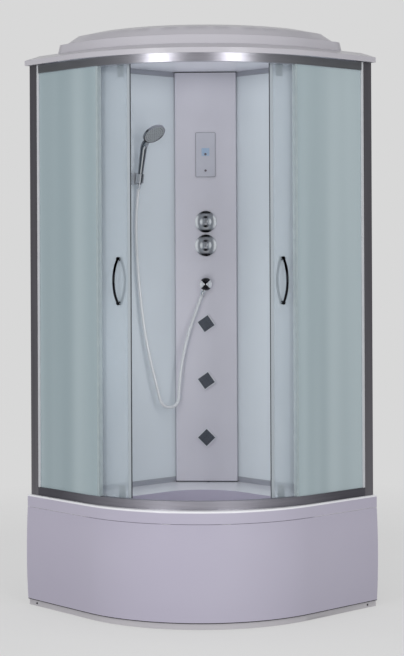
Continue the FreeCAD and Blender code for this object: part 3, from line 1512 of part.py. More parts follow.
def on_left_wall(obj, up, out, turn=None):
    """Place a piece beside the shower bracket on the left back wall."""
    along = S.bracket_place
    off = S.wall_face + out
    rotation = LEFT_WALL_TURN if turn is None else LEFT_WALL_TURN.multiply(turn)
    return place(obj, (off - along) / ROOT_TWO, CORNER_Y - (along + off) / ROOT_TWO,
                 S.bracket_level + up, rotation)


def grip_turn(extra=0):
    """Turns a piece's own Z axis along the leaning grip; extra leans it further out."""
    return App.Rotation(X_AXIS, -QUARTER_TURN + S.holder_lean.value + extra)


def along_grip(distance):
    """Rise and reach of a point on the grip's axis, from the clip's middle."""
    return (distance * cosine(S.holder_lean), S.holder_reach + distance * sine(S.holder_lean))


def grip_cone(name, start, end, clearance):
    """Piece of the tapering grip between two distances from the clip."""
    total = S.grip_below_clip + S.grip_above_clip
    slope = (S.grip_high_diameter - S.grip_low_diameter) / TWO / total
    cone = DOC.addObject("Part::Cone", name)
    low = S.grip_low_diameter / TWO + slope * (start + S.grip_below_clip) + clearance
    high = S.grip_low_diameter / TWO + slope * (end + S.grip_below_clip) + clearance
    cone.setExpression("Radius1", low.text)
    cone.setExpression("Radius2", high.text)
    cone.setExpression("Height", (end - start).text)
    up, out = along_grip(start)
    return on_left_wall(cone, up, out, grip_turn())


def make_holder():
    """Block on the wall and the split clip that swivels in it on a round shank."""
    block = DOC.addObject("Part::Box", "HolderBlock")
    block.setExpression("Length", S.holder_width.text)
    block.setExpression("Width", S.holder_height.text)
    block.setExpression("Height", S.holder_depth.text)
    along = S.bracket_place + S.holder_width / TWO
    place(block, (S.wall_face - along) / ROOT_TWO, CORNER_Y - (along + S.wall_face) / ROOT_TWO,
          S.bracket_level - S.holder_height / TWO, LEFT_WALL_TURN)
    bore = cylinder("HolderBore", S.clip_shank + TWO * S.axle_clearance, S.holder_depth)
    holder = DOC.addObject("Part::Cut", "Holder")
    holder.Base = block
    holder.Tool = on_left_wall(bore, ZERO, S.holder_floor)
    keep(holder, "shower_bracket")
    barrel = cylinder("ClipBarrel", S.clip_diameter, S.clip_height)
    up, out = along_grip(-S.clip_height / TWO)
    on_left_wall(barrel, up, out, grip_turn())
    shank = cylinder("ClipShank", S.clip_shank, S.holder_reach - S.holder_floor - S.fit_gap)
    on_left_wall(shank, ZERO, S.holder_floor + S.fit_gap)
    reach = S.clip_height
    slot = DOC.addObject("Part::Box", "ClipSlot")
    slot.setExpression("Length", S.clip_slot.text)
    slot.setExpression("Width", S.clip_diameter.text)
    slot.setExpression("Height", (TWO * reach).text)
    along = S.bracket_place + S.clip_slot / TWO
    up, out = along_grip(reach)
    off = S.wall_face + out
    place(slot, (off - along) / ROOT_TWO, CORNER_Y - (along + off) / ROOT_TWO, S.bracket_level + up,
          LEFT_WALL_TURN.multiply(App.Rotation(X_AXIS, QUARTER_TURN + S.holder_lean.value)))
    clip = DOC.addObject("Part::Cut", "Clip")
    clip.Base = fused("ClipWhole", [barrel, shank])
    clip.Tool = fused("ClipSpace", [grip_cone("ClipBore", -reach, reach, S.grip_clearance), slot])
    keep(clip, "shower_clip")


def make_handset():
    grip = grip_cone("Grip", -S.grip_below_clip, S.grip_above_clip, ZERO)
    lean = S.head_lean
    bend = S.neck_bend
    start_up, start_out = along_grip(S.grip_above_clip)
    neck = DOC.addObject("Part::Torus", "Neck")
    neck.setExpression("Radius1", bend.text)
    neck.setExpression("Radius2", (S.grip_high_diameter / TWO).text)
    neck.setExpression("Angle3", (S.head_lean - S.holder_lean).text)
    centre_up = start_up - bend * sine(S.holder_lean)
    centre_out = start_out + bend * cosine(S.holder_lean)
    spin = App.Rotation(Y_AXIS, QUARTER_TURN).multiply(App.Rotation(Z_AXIS, S.holder_lean.value))
    on_left_wall(neck, centre_up, centre_out, spin)
    end_up = centre_up + bend * sine(lean)
    end_out = centre_out - bend * cosine(lean)
    throat = DOC.addObject("Part::Cone", "Throat")
    throat.setExpression("Radius1", (S.grip_high_diameter / TWO).text)
    throat.setExpression("Radius2", (S.throat_tip_diameter / TWO).text)
    throat.setExpression("Height", S.head_reach.text)
    on_left_wall(throat, end_up, end_out, App.Rotation(X_AXIS, -QUARTER_TURN + lean.value))
    head_up = end_up + S.head_reach * cosine(lean) - S.throat_depth * sine(lean)
    head_out = end_out + S.head_reach * sine(lean) + S.throat_depth * cosine(lean)
    head = new_body("Head")
    edge = S.head_diameter / TWO
    rim = S.head_rim
    depth = S.head_depth
    dome = (edge * edge + (depth - rim) * (depth - rim)) / (TWO * (depth - rim))
    recess = S.face_diameter / TWO + S.fit_gap
    turned(head, "head_form", [[(recess, ZERO), (edge, ZERO), (edge, rim), Arc(dome, 1), (ZERO, depth),
                                (ZERO, S.face_thickness), (recess, S.face_thickness)]])
    facing = App.Rotation(X_AXIS, lean.value).multiply(App.Rotation(Y_AXIS, HALF_TURN))
    on_left_wall(head, head_up, head_out, facing)
    keep(fused("Handset", [grip, neck, throat, head]), "handset")
    face = new_body("SprayFace")
    pad(face, "spray_disc", [(ZERO, ZERO, S.face_diameter / TWO)], S.fit_gap,
        S.face_thickness - S.fit_gap)
    keep(on_left_wall(face, head_up, head_out, facing), "spray_face")
    nut = make_nut("HandsetNut")
    up, out = along_grip(-S.grip_below_clip)
    keep(on_left_wall(nut, up, out, grip_turn(HALF_TURN)), "handset_nut")


# Shower hose: the corners of its route, from the hand shower down to a low loop and up to the outlet

HOSE_ROUTE = [
    (-249.36, 206.16, 1522.64),
    (-257.46, 214.26, 1463.74),
    (-261.00, 210.49, 1360.00),
    (-254.00, 206.49, 1225.00),
    (-243.00, 208.49, 1090.00),
    (-227.00, 213.49, 965.00),
    (-207.00, 220.49, 860.00),
    (-184.00, 229.49, 765.00),
    (-166.00, 236.49, 684.00),
    (-106.00, 288.49, 684.00),
    (-103.00, 293.49, 762.00),
    (-90.00, 302.49, 870.00),
    (-66.00, 314.49, 970.00),
    (-36.29, 338.49, 1055.30),
    (-15.77, 338.49, 1111.68),
]
BEND_SHARE = 0.45


def bend(before, corner, after):
    """Where an arc leaves and joins the two runs at a corner, its middle and its radius."""
    to_before = before - corner
    to_after = after - corner
    reach = min(to_before.Length, to_after.Length) * BEND_SHARE
    half_turn = (math.pi - to_before.getAngle(to_after)) / 2
    radius = reach / math.tan(half_turn)
    start = corner + App.Vector(to_before).normalize() * reach
    end = corner + App.Vector(to_after).normalize() * reach
    inward = (start + end - corner * 2).normalize()
    middle = corner + inward * (radius / math.cos(half_turn) - radius)
    return start, middle, end, radius


def make_hose():
    """A round hose swept along straight runs that tangent arcs join."""
    route = [App.Vector(*point) for point in HOSE_ROUTE]
    edges = []
    radii = []
    here = route[0]
    for before, corner, after in zip(route, route[1:], route[2:]):
        start, middle, end, radius = bend(before, corner, after)
        edges.append(Part.LineSegment(here, start).toShape())
        edges.append(Part.Arc(start, middle, end).toShape())
        radii.append(radius)
        here = end
    edges.append(Part.LineSegment(here, route[-1]).toShape())
    path = Part.Wire(edges)
    radius = (S.hose_diameter / TWO).value
    ring_edge = Part.Circle(route[0], route[1] - route[0], radius).toShape()
    swept = path.makePipeShell([Part.Wire([ring_edge])], True, True)
    hose = DOC.addObject("Part::Feature", "Hose")
    hose.Shape = Part.makeSolid(swept) if swept.ShapeType == "Shell" else swept
    section = math.pi * radius * radius
    print("hose: length %.1f, radii %s, volume over section times length %.4f" % (
        path.Length, " ".join("%.0f" % value for value in radii),
        abs(hose.Shape.Volume) / (section * path.Length)))
    keep(hose, "shower_hose")


make_rails()
make_posts()
make_fixed_glass()
make_door("left", S.left_straight_run)
make_door("right", S.right_straight_run)
make_back_walls()
make_column()
make_ceiling()
make_roof()
make_knob("MixerKnob", "mixer_knob", S.mixer_level)
make_knob("DiverterKnob", "diverter_knob", S.diverter_level)
make_valve()
make_outlet()
make_supply(make_jets())
make_control_plate()
make_holder()
make_handset()
make_hose()
finish_and_write()
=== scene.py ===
import json
import math

import bmesh
import bpy
from bpy.props import FloatProperty, FloatVectorProperty, IntProperty, PointerProperty
from mathutils import Matrix, Vector

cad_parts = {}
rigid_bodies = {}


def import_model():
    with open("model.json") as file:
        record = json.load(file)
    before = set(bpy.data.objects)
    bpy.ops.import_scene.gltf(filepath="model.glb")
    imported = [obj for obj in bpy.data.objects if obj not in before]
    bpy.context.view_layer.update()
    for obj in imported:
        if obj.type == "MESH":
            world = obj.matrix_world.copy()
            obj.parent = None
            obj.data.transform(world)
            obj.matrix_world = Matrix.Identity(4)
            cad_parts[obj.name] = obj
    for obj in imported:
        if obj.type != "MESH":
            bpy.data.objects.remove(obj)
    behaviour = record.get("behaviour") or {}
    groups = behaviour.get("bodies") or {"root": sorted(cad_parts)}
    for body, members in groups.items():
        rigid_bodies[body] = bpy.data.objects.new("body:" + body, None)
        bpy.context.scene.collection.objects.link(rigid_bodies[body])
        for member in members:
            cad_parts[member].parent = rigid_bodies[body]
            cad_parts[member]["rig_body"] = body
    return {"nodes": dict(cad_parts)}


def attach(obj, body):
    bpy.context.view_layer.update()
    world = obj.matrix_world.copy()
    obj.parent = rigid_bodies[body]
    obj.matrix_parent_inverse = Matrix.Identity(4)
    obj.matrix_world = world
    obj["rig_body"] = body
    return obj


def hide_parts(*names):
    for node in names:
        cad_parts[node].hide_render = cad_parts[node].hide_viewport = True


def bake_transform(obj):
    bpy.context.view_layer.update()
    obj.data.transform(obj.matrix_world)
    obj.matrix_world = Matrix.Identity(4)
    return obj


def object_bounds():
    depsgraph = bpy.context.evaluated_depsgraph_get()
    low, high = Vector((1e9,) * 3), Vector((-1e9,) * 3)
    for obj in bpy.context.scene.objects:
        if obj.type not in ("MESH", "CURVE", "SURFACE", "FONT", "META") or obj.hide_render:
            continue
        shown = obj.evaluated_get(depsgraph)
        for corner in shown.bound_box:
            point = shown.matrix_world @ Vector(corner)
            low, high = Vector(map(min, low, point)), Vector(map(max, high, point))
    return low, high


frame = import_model()
CAD_BOX = [list(corner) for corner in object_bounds()]

bl_info = {
    "name": "Shower cabin looks",
    "version": (1, 0, 0),
    "blender": (4, 5, 0),
    "location": "3D View > Sidebar > Shower",
    "description": "Dresses the corner shower cabin and sets its studio",
    "category": "Object",
}

PICTURE_HEIGHT = 656.0
SENSOR = 36.0
FULL_TURN = math.tau
QUARTER_TURN = math.pi / 2

# How far each body jet's square face is turned.
JET_TURNS = {"jet_1": math.radians(35), "jet_2": math.radians(35), "jet_3": math.radians(45)}

# The knobs' size and levels, and the control plate's middle and the half size of its drawn line.
KNOB_RADIUS = 0.042
MIXER_LEVEL = 1.398
DIVERTER_LEVEL = 1.306
PLATE_MIDDLE = (0.0, 0.3645, 1.66)
PLATE_LINE = (0.0374, 0.0854)

# The lowest and highest level of each sheet's plain part; the bands are cut in beyond them.
WALL_SPAN = (0.403, 1.964)
APRON_SPAN = (0.0252, 9.0)

# How strong the painted reflection's crescents on a knob are from its middle to its edge, and their
# tints.
KNOB_REFLECTION_RINGS = [(0.0, "000000"), (0.25, "000000"), (0.36, "E0E0E0"), (0.48, "E0E0E0"),
              (0.56, "303030"), (0.72, "707070"), (0.86, "FFFFFF"), (1.0, "FFFFFF")]
KNOB_REFLECTION_TINTS = [(0.0, "050506"), (0.22, "0E0E10"), (0.34, "77797E"), (0.5, "A3A5AA"),
              (0.66, "E6E7E9"), (0.8, "FFFFFF"), (1.0, "FFFFFF")]

# The hose's route from the handset to the outlet, in metres.
HOSE_ROUTE = (
    (-0.24936, 0.20616, 1.52264), (-0.25746, 0.21426, 1.46374), (-0.26100, 0.21049, 1.36000),
    (-0.25400, 0.20649, 1.22500), (-0.24300, 0.20849, 1.09000), (-0.22700, 0.21349, 0.96500),
    (-0.20700, 0.22049, 0.86000), (-0.18400, 0.22949, 0.76500), (-0.16600, 0.23649, 0.68400),
    (-0.10600, 0.28849, 0.68400), (-0.10300, 0.29349, 0.76200), (-0.09000, 0.30249, 0.87000),
    (-0.06600, 0.31449, 0.97000), (-0.03629, 0.33849, 1.05530), (-0.01577, 0.33849, 1.11168),
)


# Settings

class ShowerStage(bpy.types.PropertyGroup):
    """The camera, the studio light and the floor."""
    camera_place: FloatVectorProperty(
        name="Camera place", description="Where the camera stands", size=3,
        default=(0.2847, -6.2417, 1.2883), unit="LENGTH", subtype="TRANSLATION")
    camera_heading: FloatProperty(
        name="Camera heading", description="Turn of the camera about the upright axis",
        default=math.radians(2.66), subtype="ANGLE")
    camera_roll: FloatProperty(
        name="Camera roll", description="Turn of the camera about its own axis",
        default=0.0046, subtype="ANGLE")
    focal_pixels: FloatProperty(
        name="Focal length", description="Focal length in pixels of the picture", default=1694.0)
    shift_across: FloatProperty(
        name="Shift across", description="Sideways shift as a share of the picture height",
        default=0.0027)
    shift_up: FloatProperty(
        name="Shift up", description="Upward shift as a share of the picture height", default=-0.119)
    sky_strength: FloatProperty(
        name="Soft light", description="Strength of the even light from all sides", default=0.55)
    front_power: FloatProperty(
        name="Front lamp", description="Power of the large lamp over the camera", default=72.0,
        unit="POWER")
    key_power: FloatProperty(
        name="Left lamp", description="Power of the large lamp on the left", default=62.0,
        unit="POWER")
    fill_power: FloatProperty(
        name="Right lamp", description="Power of the large lamp on the right", default=54.0,
        unit="POWER")
    inner_power: FloatProperty(
        name="Inner lamp", description="Power of the soft lamp under the ceiling", default=0.4,
        unit="POWER")
    middle_power: FloatProperty(
        name="Middle lamp", description="Power of the soft ball of light inside", default=1.7,
        unit="POWER")
    inner_size: FloatProperty(
        name="Inner lamp size", description="Width of each soft lamp inside", default=0.6,
        unit="LENGTH")
    inner_height: FloatProperty(
        name="Inner lamp height", description="Height of the lamp under the ceiling",
        default=1.97, unit="LENGTH")
    ceiling_power: FloatProperty(
        name="Ceiling lamp", description="Power of the soft lamp that faces the ceiling",
        default=0.22, unit="POWER")
    ceiling_lamp_height: FloatProperty(
        name="Ceiling lamp height", description="Height of the lamp that faces the ceiling",
        default=1.82, unit="LENGTH")
    middle_place: FloatVectorProperty(
        name="Middle lamp place", description="Place of the soft ball of light", size=3,
        default=(-0.12, -0.22, 0.95), unit="LENGTH", subtype="TRANSLATION")
    floor_glow: FloatProperty(
        name="Floor glow", description="Share of the floor's brightness that no shadow dims",
        default=0.44, min=0.0, max=1.0, subtype="FACTOR")
    front_place: FloatVectorProperty(
        name="Front lamp place", description="Place of the lamp over the camera", size=3,
        default=(-0.3, -6.6, 1.7), unit="LENGTH", subtype="TRANSLATION")
    lamp_width: FloatProperty(
        name="Lamp width", description="Width of a large lamp", default=1.3, unit="LENGTH")
    lamp_height: FloatProperty(
        name="Lamp height", description="Height of a large lamp", default=2.6, unit="LENGTH")
    left_place: FloatVectorProperty(
        name="Left lamp place", description="Place of the left lamp", size=3,
        default=(-2.7, -5.2, 1.9), unit="LENGTH", subtype="TRANSLATION")
    right_place: FloatVectorProperty(
        name="Right lamp place", description="Place of the right lamp", size=3,
        default=(2.5, -5.4, 1.9), unit="LENGTH", subtype="TRANSLATION")
    floor_radius: FloatProperty(
        name="Floor radius", description="Where the floor has faded into the backdrop",
        default=3.2, unit="LENGTH")
    floor_solid: FloatProperty(
        name="Solid floor", description="Radius inside which the floor doesn't fade",
        default=1.6, unit="LENGTH")
    card_distance: FloatProperty(
        name="Card distance", description="Distance of the dark cards that polished metal mirrors",
        default=7.5, unit="LENGTH")
    card_width: FloatProperty(
        name="Card width", description="Distance between the dark cards at the sides",
        default=12.0, unit="LENGTH")


class ShowerHose(bpy.types.PropertyGroup):
    """The flexible hose between the outlet and the handset."""
    diameter: FloatProperty(
        name="Diameter", description="Outer diameter of the hose", default=0.012, unit="LENGTH")
    length: FloatProperty(
        name="Length", description="Length of the hose along its own line", default=1.347,
        unit="LENGTH")
    sides: IntProperty(name="Sides", description="Faces round the hose", default=20, min=8)
    pitch: FloatProperty(
        name="Band pitch", description="Distance between two turns of the wound band",
        default=0.004, unit="LENGTH")
    steps: IntProperty(
        name="Steps", description="Points between two control points of the route", default=24)


class ShowerCopies(bpy.types.PropertyGroup):
    """How the shaded copies of the parts are softened."""
    join: FloatProperty(
        name="Join distance", description="Corners nearer than this are joined",
        default=0.000002, unit="LENGTH", precision=6)
    flat: FloatProperty(
        name="Flat angle", description="Faces that meet at less than this are one face",
        default=math.radians(0.05), subtype="ANGLE")
    sharp: FloatProperty(
        name="Sharp angle", description="Edges that turn more than this stay crisp",
        default=math.radians(28), subtype="ANGLE")


class ShowerNozzles(bpy.types.PropertyGroup):
    """The small rubber nozzles of the handset and the body jets."""
    foot: FloatProperty(
        name="Foot", description="Diameter of a nozzle at its foot", default=0.0034, unit="LENGTH")
    tip: FloatProperty(
        name="Tip", description="Diameter of a nozzle at its tip", default=0.0022, unit="LENGTH")
    rise: FloatProperty(
        name="Rise", description="Height of a nozzle", default=0.0009, unit="LENGTH")
    bore: FloatProperty(
        name="Bore", description="Diameter of a nozzle's hole", default=0.0009, unit="LENGTH")
    sides: IntProperty(name="Sides", description="Faces round a nozzle", default=12, min=6)
    ring_gap: FloatProperty(
        name="Ring gap", description="Distance between two rings of nozzles", default=0.0085,
        unit="LENGTH")
    rings: IntProperty(name="Rings", description="Rings of nozzles on the handset", default=4)
    jet_gap: FloatProperty(
        name="Jet gap", description="Distance between two nozzles of a body jet", default=0.0105,
        unit="LENGTH")
    jet_rows: IntProperty(name="Jet rows", description="Rows of nozzles of a body jet", default=4)
    jet_side: FloatProperty(
        name="Jet side", description="Side of a body jet's dark face", default=0.0472,
        unit="LENGTH")
    inlay_gap: FloatProperty(
        name="Inlay gap", description="Distance between a dark face and the recess under it",
        default=0.00005, unit="LENGTH", precision=5)
    inlay_thickness: FloatProperty(
        name="Inlay thickness", description="Thickness of a dark face", default=0.0005,
        unit="LENGTH", precision=4)


class ShowerControls(bpy.types.PropertyGroup):
    """The screen window of the control plate."""
    window_side: FloatProperty(
        name="Window side", description="Side of the screen window", default=0.0304,
        unit="LENGTH", precision=4)
    window_level: FloatProperty(
        name="Window level", description="Height of the window's middle", default=1.6705,
        unit="LENGTH", precision=4)
    window_depth: FloatProperty(
        name="Window depth", description="Distance of the window's back from the middle of the cabin",
        default=0.36325, unit="LENGTH", precision=5)
    window_thickness: FloatProperty(
        name="Window thickness", description="Thickness of the window", default=0.0005,
        unit="LENGTH", precision=4)
    button_level: FloatProperty(
        name="Button level", description="Height of the button in the window", default=1.662,
        unit="LENGTH", precision=4)
    hole_radius: FloatProperty(
        name="Hole radius", description="Radius of the window's hole round the button",
        default=0.0049, unit="LENGTH", precision=4)
    hole_sides: IntProperty(name="Hole sides", description="Edges round the hole", default=40)


SETTINGS = {
    "shower_stage": ShowerStage,
    "shower_controls": ShowerControls,
    "shower_hose": ShowerHose,
    "shower_copies": ShowerCopies,
    "shower_nozzles": ShowerNozzles,
}


# Materials

def linear(text):
    """A colour written as sRGB hex, as the linear value that a shader takes."""
    shares = [int(text[at:at + 2], 16) / 255 for at in (0, 2, 4)]
    return tuple(
        share / 12.92 if share <= 0.04045 else ((share + 0.055) / 1.055) ** 2.4
        for share in shares) + (1.0,)


def add_node(material, kind, settings=None, links=None):
    """Adds one node, sets its properties and inputs, and links its inputs to other nodes' outputs."""
    node = material.node_tree.nodes.new(kind)
    for name, value in (settings or {}).items():
        if hasattr(node, str(name)):
            setattr(node, name, value)
        else:
            node.inputs[name].default_value = value
    for name, socket in (links or {}).items():
        material.node_tree.links.new(socket, node.inputs[name])
    return node


def ramp(material, source, stops, smooth=False):
    """A colour ramp over a value, from a list of (place, hex colour)."""
    node = add_node(material, "ShaderNodeValToRGB", None, {"Fac": source})
    node.color_ramp.interpolation = "EASE" if smooth else "LINEAR"
    while len(node.color_ramp.elements) < len(stops):
        node.color_ramp.elements.new(1.0)
    for element, (place, colour) in zip(node.color_ramp.elements, stops):
        element.position = place
        element.color = linear(colour)
    return node.outputs["Color"]


def new_material(name):
    """An empty node material with its output node."""
    material = bpy.data.materials.new(name)
    material.use_nodes = True
    material.node_tree.nodes.clear()
    return material


def object_place(material, stretch=(1.0, 1.0, 1.0)):
    """Object coordinates, stretched along each axis."""
    place = add_node(material, "ShaderNodeTexCoord")
    mapped = add_node(material, "ShaderNodeMapping", {"Scale": stretch},
                      {"Vector": place.outputs["Object"]})
    return mapped.outputs["Vector"]


def cloud(material, place, scale, detail=3.0):
    """Soft noise over a place, from 0 to 1."""
    return add_node(material, "ShaderNodeTexNoise", {"Scale": scale, "Detail": detail},
                    {"Vector": place}).outputs["Fac"]


def spread(material, source, low, high):
    """A 0 to 1 value moved to the span from low to high."""
    return add_node(material, "ShaderNodeMapRange", {"To Min": low, "To Max": high},
                    {"Value": source}).outputs["Result"]


def close_shader(material, colour, roughness, settings, bump=None):
    """The surface shader and the output that it feeds."""
    links = {"Base Color": colour, "Roughness": roughness}
    if bump:
        links["Normal"] = bump
    shader = add_node(material, "ShaderNodeBsdfPrincipled", settings, links)
    add_node(material, "ShaderNodeOutputMaterial", None, {"Surface": shader.outputs["BSDF"]})
    return material


def surface(name, tints, scale, rough, settings=None, stretch=(1.0, 1.0, 1.0), relief=0.0):
    """A surface whose tint, gloss and fine relief drift with noise in the piece's own place."""
    material = new_material(name)
    place = object_place(material, stretch)
    noise = cloud(material, place, scale)
    colour = ramp(material, noise, list(zip((0.3, 0.7), tints)))
    roughness = spread(material, noise, *rough)
    bump = None
    if relief:
        fine = cloud(material, place, scale * 12)
        bump = add_node(material, "ShaderNodeBump", {"Strength": 0.25, "Distance": relief},
                        {"Height": fine}).outputs["Normal"]
    return close_shader(material, colour, roughness, settings or {}, bump)


def seen_directly(material):
    """1 where the camera, a mirror or glass sees the surface, and 0 where it only lights others."""
    path = add_node(material, "ShaderNodeLightPath")
    clear = add_node(material, "ShaderNodeMath", {"operation": "MAXIMUM"},
                     {0: path.outputs["Is Camera Ray"], 1: path.outputs["Is Transmission Ray"]})
    return add_node(material, "ShaderNodeMath", {"operation": "MAXIMUM"},
                    {0: clear.outputs["Value"], 1: path.outputs["Is Glossy Ray"]}).outputs["Value"]


def height_of(material):
    """The height of each point in the piece's own place, in metres."""
    place = add_node(material, "ShaderNodeTexCoord")
    parts = add_node(material, "ShaderNodeSeparateXYZ", None, {"Vector": place.outputs["Object"]})
    return parts.outputs["Z"]


def banded_panel(name, tints, band, edges, rough, settings):
    """A pale panel with a grey band along its top and foot, cut by height."""
    material = new_material(name)
    place = object_place(material)
    body = ramp(material, cloud(material, place, 1.4), list(zip((0.3, 0.7), tints)))
    height = height_of(material)
    above = add_node(material, "ShaderNodeMath", {"operation": "GREATER_THAN", 1: edges[1]},
                     {0: height})
    below = add_node(material, "ShaderNodeMath", {"operation": "LESS_THAN", 1: edges[0]},
                     {0: height})
    either = add_node(material, "ShaderNodeMath", {"operation": "MAXIMUM"},
                      {0: above.outputs["Value"], 1: below.outputs["Value"]})
    mixed = add_node(material, "ShaderNodeMix", {"data_type": "RGBA", 7: linear(band)},
                     {0: either.outputs["Value"], 6: body})
    roughness = spread(material, cloud(material, place, 22.0), *rough)
    return close_shader(material, mixed.outputs[2], roughness, settings)


def curved_rail(name, tints, ends, rough, settings):
    """Brushed metal that darkens towards the ends of the curved front, as a painted reflection of the
    dark studio sides.
    """
    material = new_material(name)
    grain = cloud(material, object_place(material, (1.0, 1.0, 22.0)), 9.0)
    place = add_node(material, "ShaderNodeTexCoord")
    parts = add_node(material, "ShaderNodeSeparateXYZ", None, {"Vector": place.outputs["Object"]})
    across = add_node(material, "ShaderNodeMath", {"operation": "ABSOLUTE"}, {0: parts.outputs["X"]})
    middle = ramp(material, grain, list(zip((0.3, 0.7), tints)))
    # The ends' tints are a painted reflection of the dark sides.
    far = ramp(material, grain, list(zip((0.3, 0.7), ends)))
    share = add_node(material, "ShaderNodeMapRange", {"From Min": 0.1, "From Max": 0.5},
                     {"Value": across.outputs["Value"]})
    mixed = add_node(material, "ShaderNodeMix", {"data_type": "RGBA"},
                     {0: share.outputs["Result"], 6: middle, 7: far})
    bump = add_node(material, "ShaderNodeBump", {"Strength": 0.25, "Distance": 0.00001},
                    {"Height": grain}).outputs["Normal"]
    return close_shader(material, mixed.outputs[2], spread(material, grain, *rough), settings, bump)


def two_sided(name, first, second, axis, edges, rough, settings):
    """A moulding whose faces take a second pair of tints where they face along one axis."""
    material = new_material(name)
    noise = cloud(material, object_place(material), 2.2)
    faced = add_node(material, "ShaderNodeNewGeometry")
    along = add_node(material, "ShaderNodeVectorMath", {"operation": "DOT_PRODUCT"},
                     {0: faced.outputs["Normal"]})
    along.inputs[1].default_value = axis
    size = add_node(material, "ShaderNodeMath", {"operation": "ABSOLUTE"},
                    {0: along.outputs["Value"]})
    share = add_node(material, "ShaderNodeMapRange", {"From Min": edges[0], "From Max": edges[1]},
                     {"Value": size.outputs["Value"]})
    mixed = add_node(material, "ShaderNodeMix", {"data_type": "RGBA"},
                     {0: share.outputs["Result"],
                      6: ramp(material, noise, list(zip((0.3, 0.7), first))),
                      7: ramp(material, noise, list(zip((0.3, 0.7), second)))})
    return close_shader(material, mixed.outputs[2], spread(material, noise, *rough), settings)


def painted_reflection_metal(name, stops, rough, settings):
    """Polished metal with a painted reflection: faces to the side and faces up or down take different
    tints.
    """
    material = new_material(name)
    faced = add_node(material, "ShaderNodeNewGeometry")
    size = add_node(material, "ShaderNodeVectorMath", {"operation": "ABSOLUTE"},
                    {0: faced.outputs["Normal"]})
    parts = add_node(material, "ShaderNodeSeparateXYZ", None, {"Vector": size.outputs["Vector"]})
    tilt = add_node(material, "ShaderNodeMath", {"operation": "SUBTRACT"},
                    {0: parts.outputs["X"], 1: parts.outputs["Z"]})
    share = spread(material, cloud(material, object_place(material), 30.0), -0.02, 0.02)
    drifted = add_node(material, "ShaderNodeMath", {"operation": "ADD"},
                       {0: tilt.outputs["Value"], 1: share})
    place = add_node(material, "ShaderNodeMapRange", {"From Min": -1.0, "From Max": 1.0},
                     {"Value": drifted.outputs["Value"]})
    colour = ramp(material, place.outputs["Result"], stops, True)
    return close_shader(material, colour, spread(material, share, *rough), settings)


def ringed_reflection_metal(name, middle, radius, rings, stops, rough, settings):
    """Polished metal with bright and dark crescents of painted reflection, set by which way each face
    turns, strong on some rings round its middle.
    """
    material = new_material(name)
    place = add_node(material, "ShaderNodeTexCoord")
    away = add_node(material, "ShaderNodeVectorMath", {"operation": "SUBTRACT"},
                    {0: place.outputs["Object"]})
    away.inputs[1].default_value = middle
    flat = add_node(material, "ShaderNodeVectorMath", {"operation": "MULTIPLY"},
                    {0: away.outputs["Vector"]})
    flat.inputs[1].default_value = (1.0 / radius, 0.0, 1.0 / radius)
    reach = add_node(material, "ShaderNodeVectorMath", {"operation": "LENGTH"},
                     {0: flat.outputs["Vector"]})
    strength = ramp(material, reach.outputs["Value"], rings)
    faced = add_node(material, "ShaderNodeNewGeometry")
    level = add_node(material, "ShaderNodeVectorMath", {"operation": "MULTIPLY"},
                     {0: faced.outputs["Normal"]})
    level.inputs[1].default_value = (1.0, 0.0, 1.0)
    even = add_node(material, "ShaderNodeVectorMath", {"operation": "NORMALIZE"},
                    {0: level.outputs["Vector"]})
    size = add_node(material, "ShaderNodeVectorMath", {"operation": "ABSOLUTE"},
                    {0: even.outputs["Vector"]})
    parts = add_node(material, "ShaderNodeSeparateXYZ", None, {"Vector": size.outputs["Vector"]})
    tilt = add_node(material, "ShaderNodeMath", {"operation": "SUBTRACT"},
                    {0: parts.outputs["X"], 1: parts.outputs["Z"]})
    masked = add_node(material, "ShaderNodeMath", {"operation": "MULTIPLY"},
                      {0: tilt.outputs["Value"], 1: strength})
    share = add_node(material, "ShaderNodeMapRange", {"From Min": -1.0, "From Max": 1.0},
                     {"Value": masked.outputs["Value"]})
    colour = ramp(material, share.outputs["Result"], stops, True)
    noise = cloud(material, object_place(material), 30.0)
    return close_shader(material, colour, spread(material, noise, *rough), settings)


def outlined_panel(name, tints, line, middle, half, rough, settings):
    """A small panel with a thin darker line along its outline, cut by distance from its middle."""
    material = new_material(name)
    place = object_place(material)
    noise = cloud(material, place, 12.0)
    body = ramp(material, noise, list(zip((0.3, 0.7), tints)))
    away = add_node(material, "ShaderNodeVectorMath", {"operation": "SUBTRACT"}, {0: place})
    away.inputs[1].default_value = middle
    size = add_node(material, "ShaderNodeVectorMath", {"operation": "ABSOLUTE"},
                    {0: away.outputs["Vector"]})
    parts = add_node(material, "ShaderNodeSeparateXYZ", None, {"Vector": size.outputs["Vector"]})
    wide = add_node(material, "ShaderNodeMath", {"operation": "GREATER_THAN", 1: half[0]},
                    {0: parts.outputs["X"]})
    tall = add_node(material, "ShaderNodeMath", {"operation": "GREATER_THAN", 1: half[1]},
                    {0: parts.outputs["Z"]})
    either = add_node(material, "ShaderNodeMath", {"operation": "MAXIMUM"},
                      {0: wide.outputs["Value"], 1: tall.outputs["Value"]})
    mixed = add_node(material, "ShaderNodeMix", {"data_type": "RGBA", 7: linear(line)},
                     {0: either.outputs["Value"], 6: body})
    return close_shader(material, mixed.outputs[2], spread(material, noise, *rough), settings)


def striped_glass(name, tints, scale, rough, settings):
    """Glass with soft upright bands that run round the curved pane."""
    material = new_material(name)
    place = object_place(material, (1.0, 1.0, 0.02))
    noise = cloud(material, place, scale, 2.0)
    colour = ramp(material, noise, list(zip((0.3, 0.7), tints)), True)
    roughness = spread(material, cloud(material, place, scale * 3), *rough)
    return close_shader(material, colour, roughness, settings)


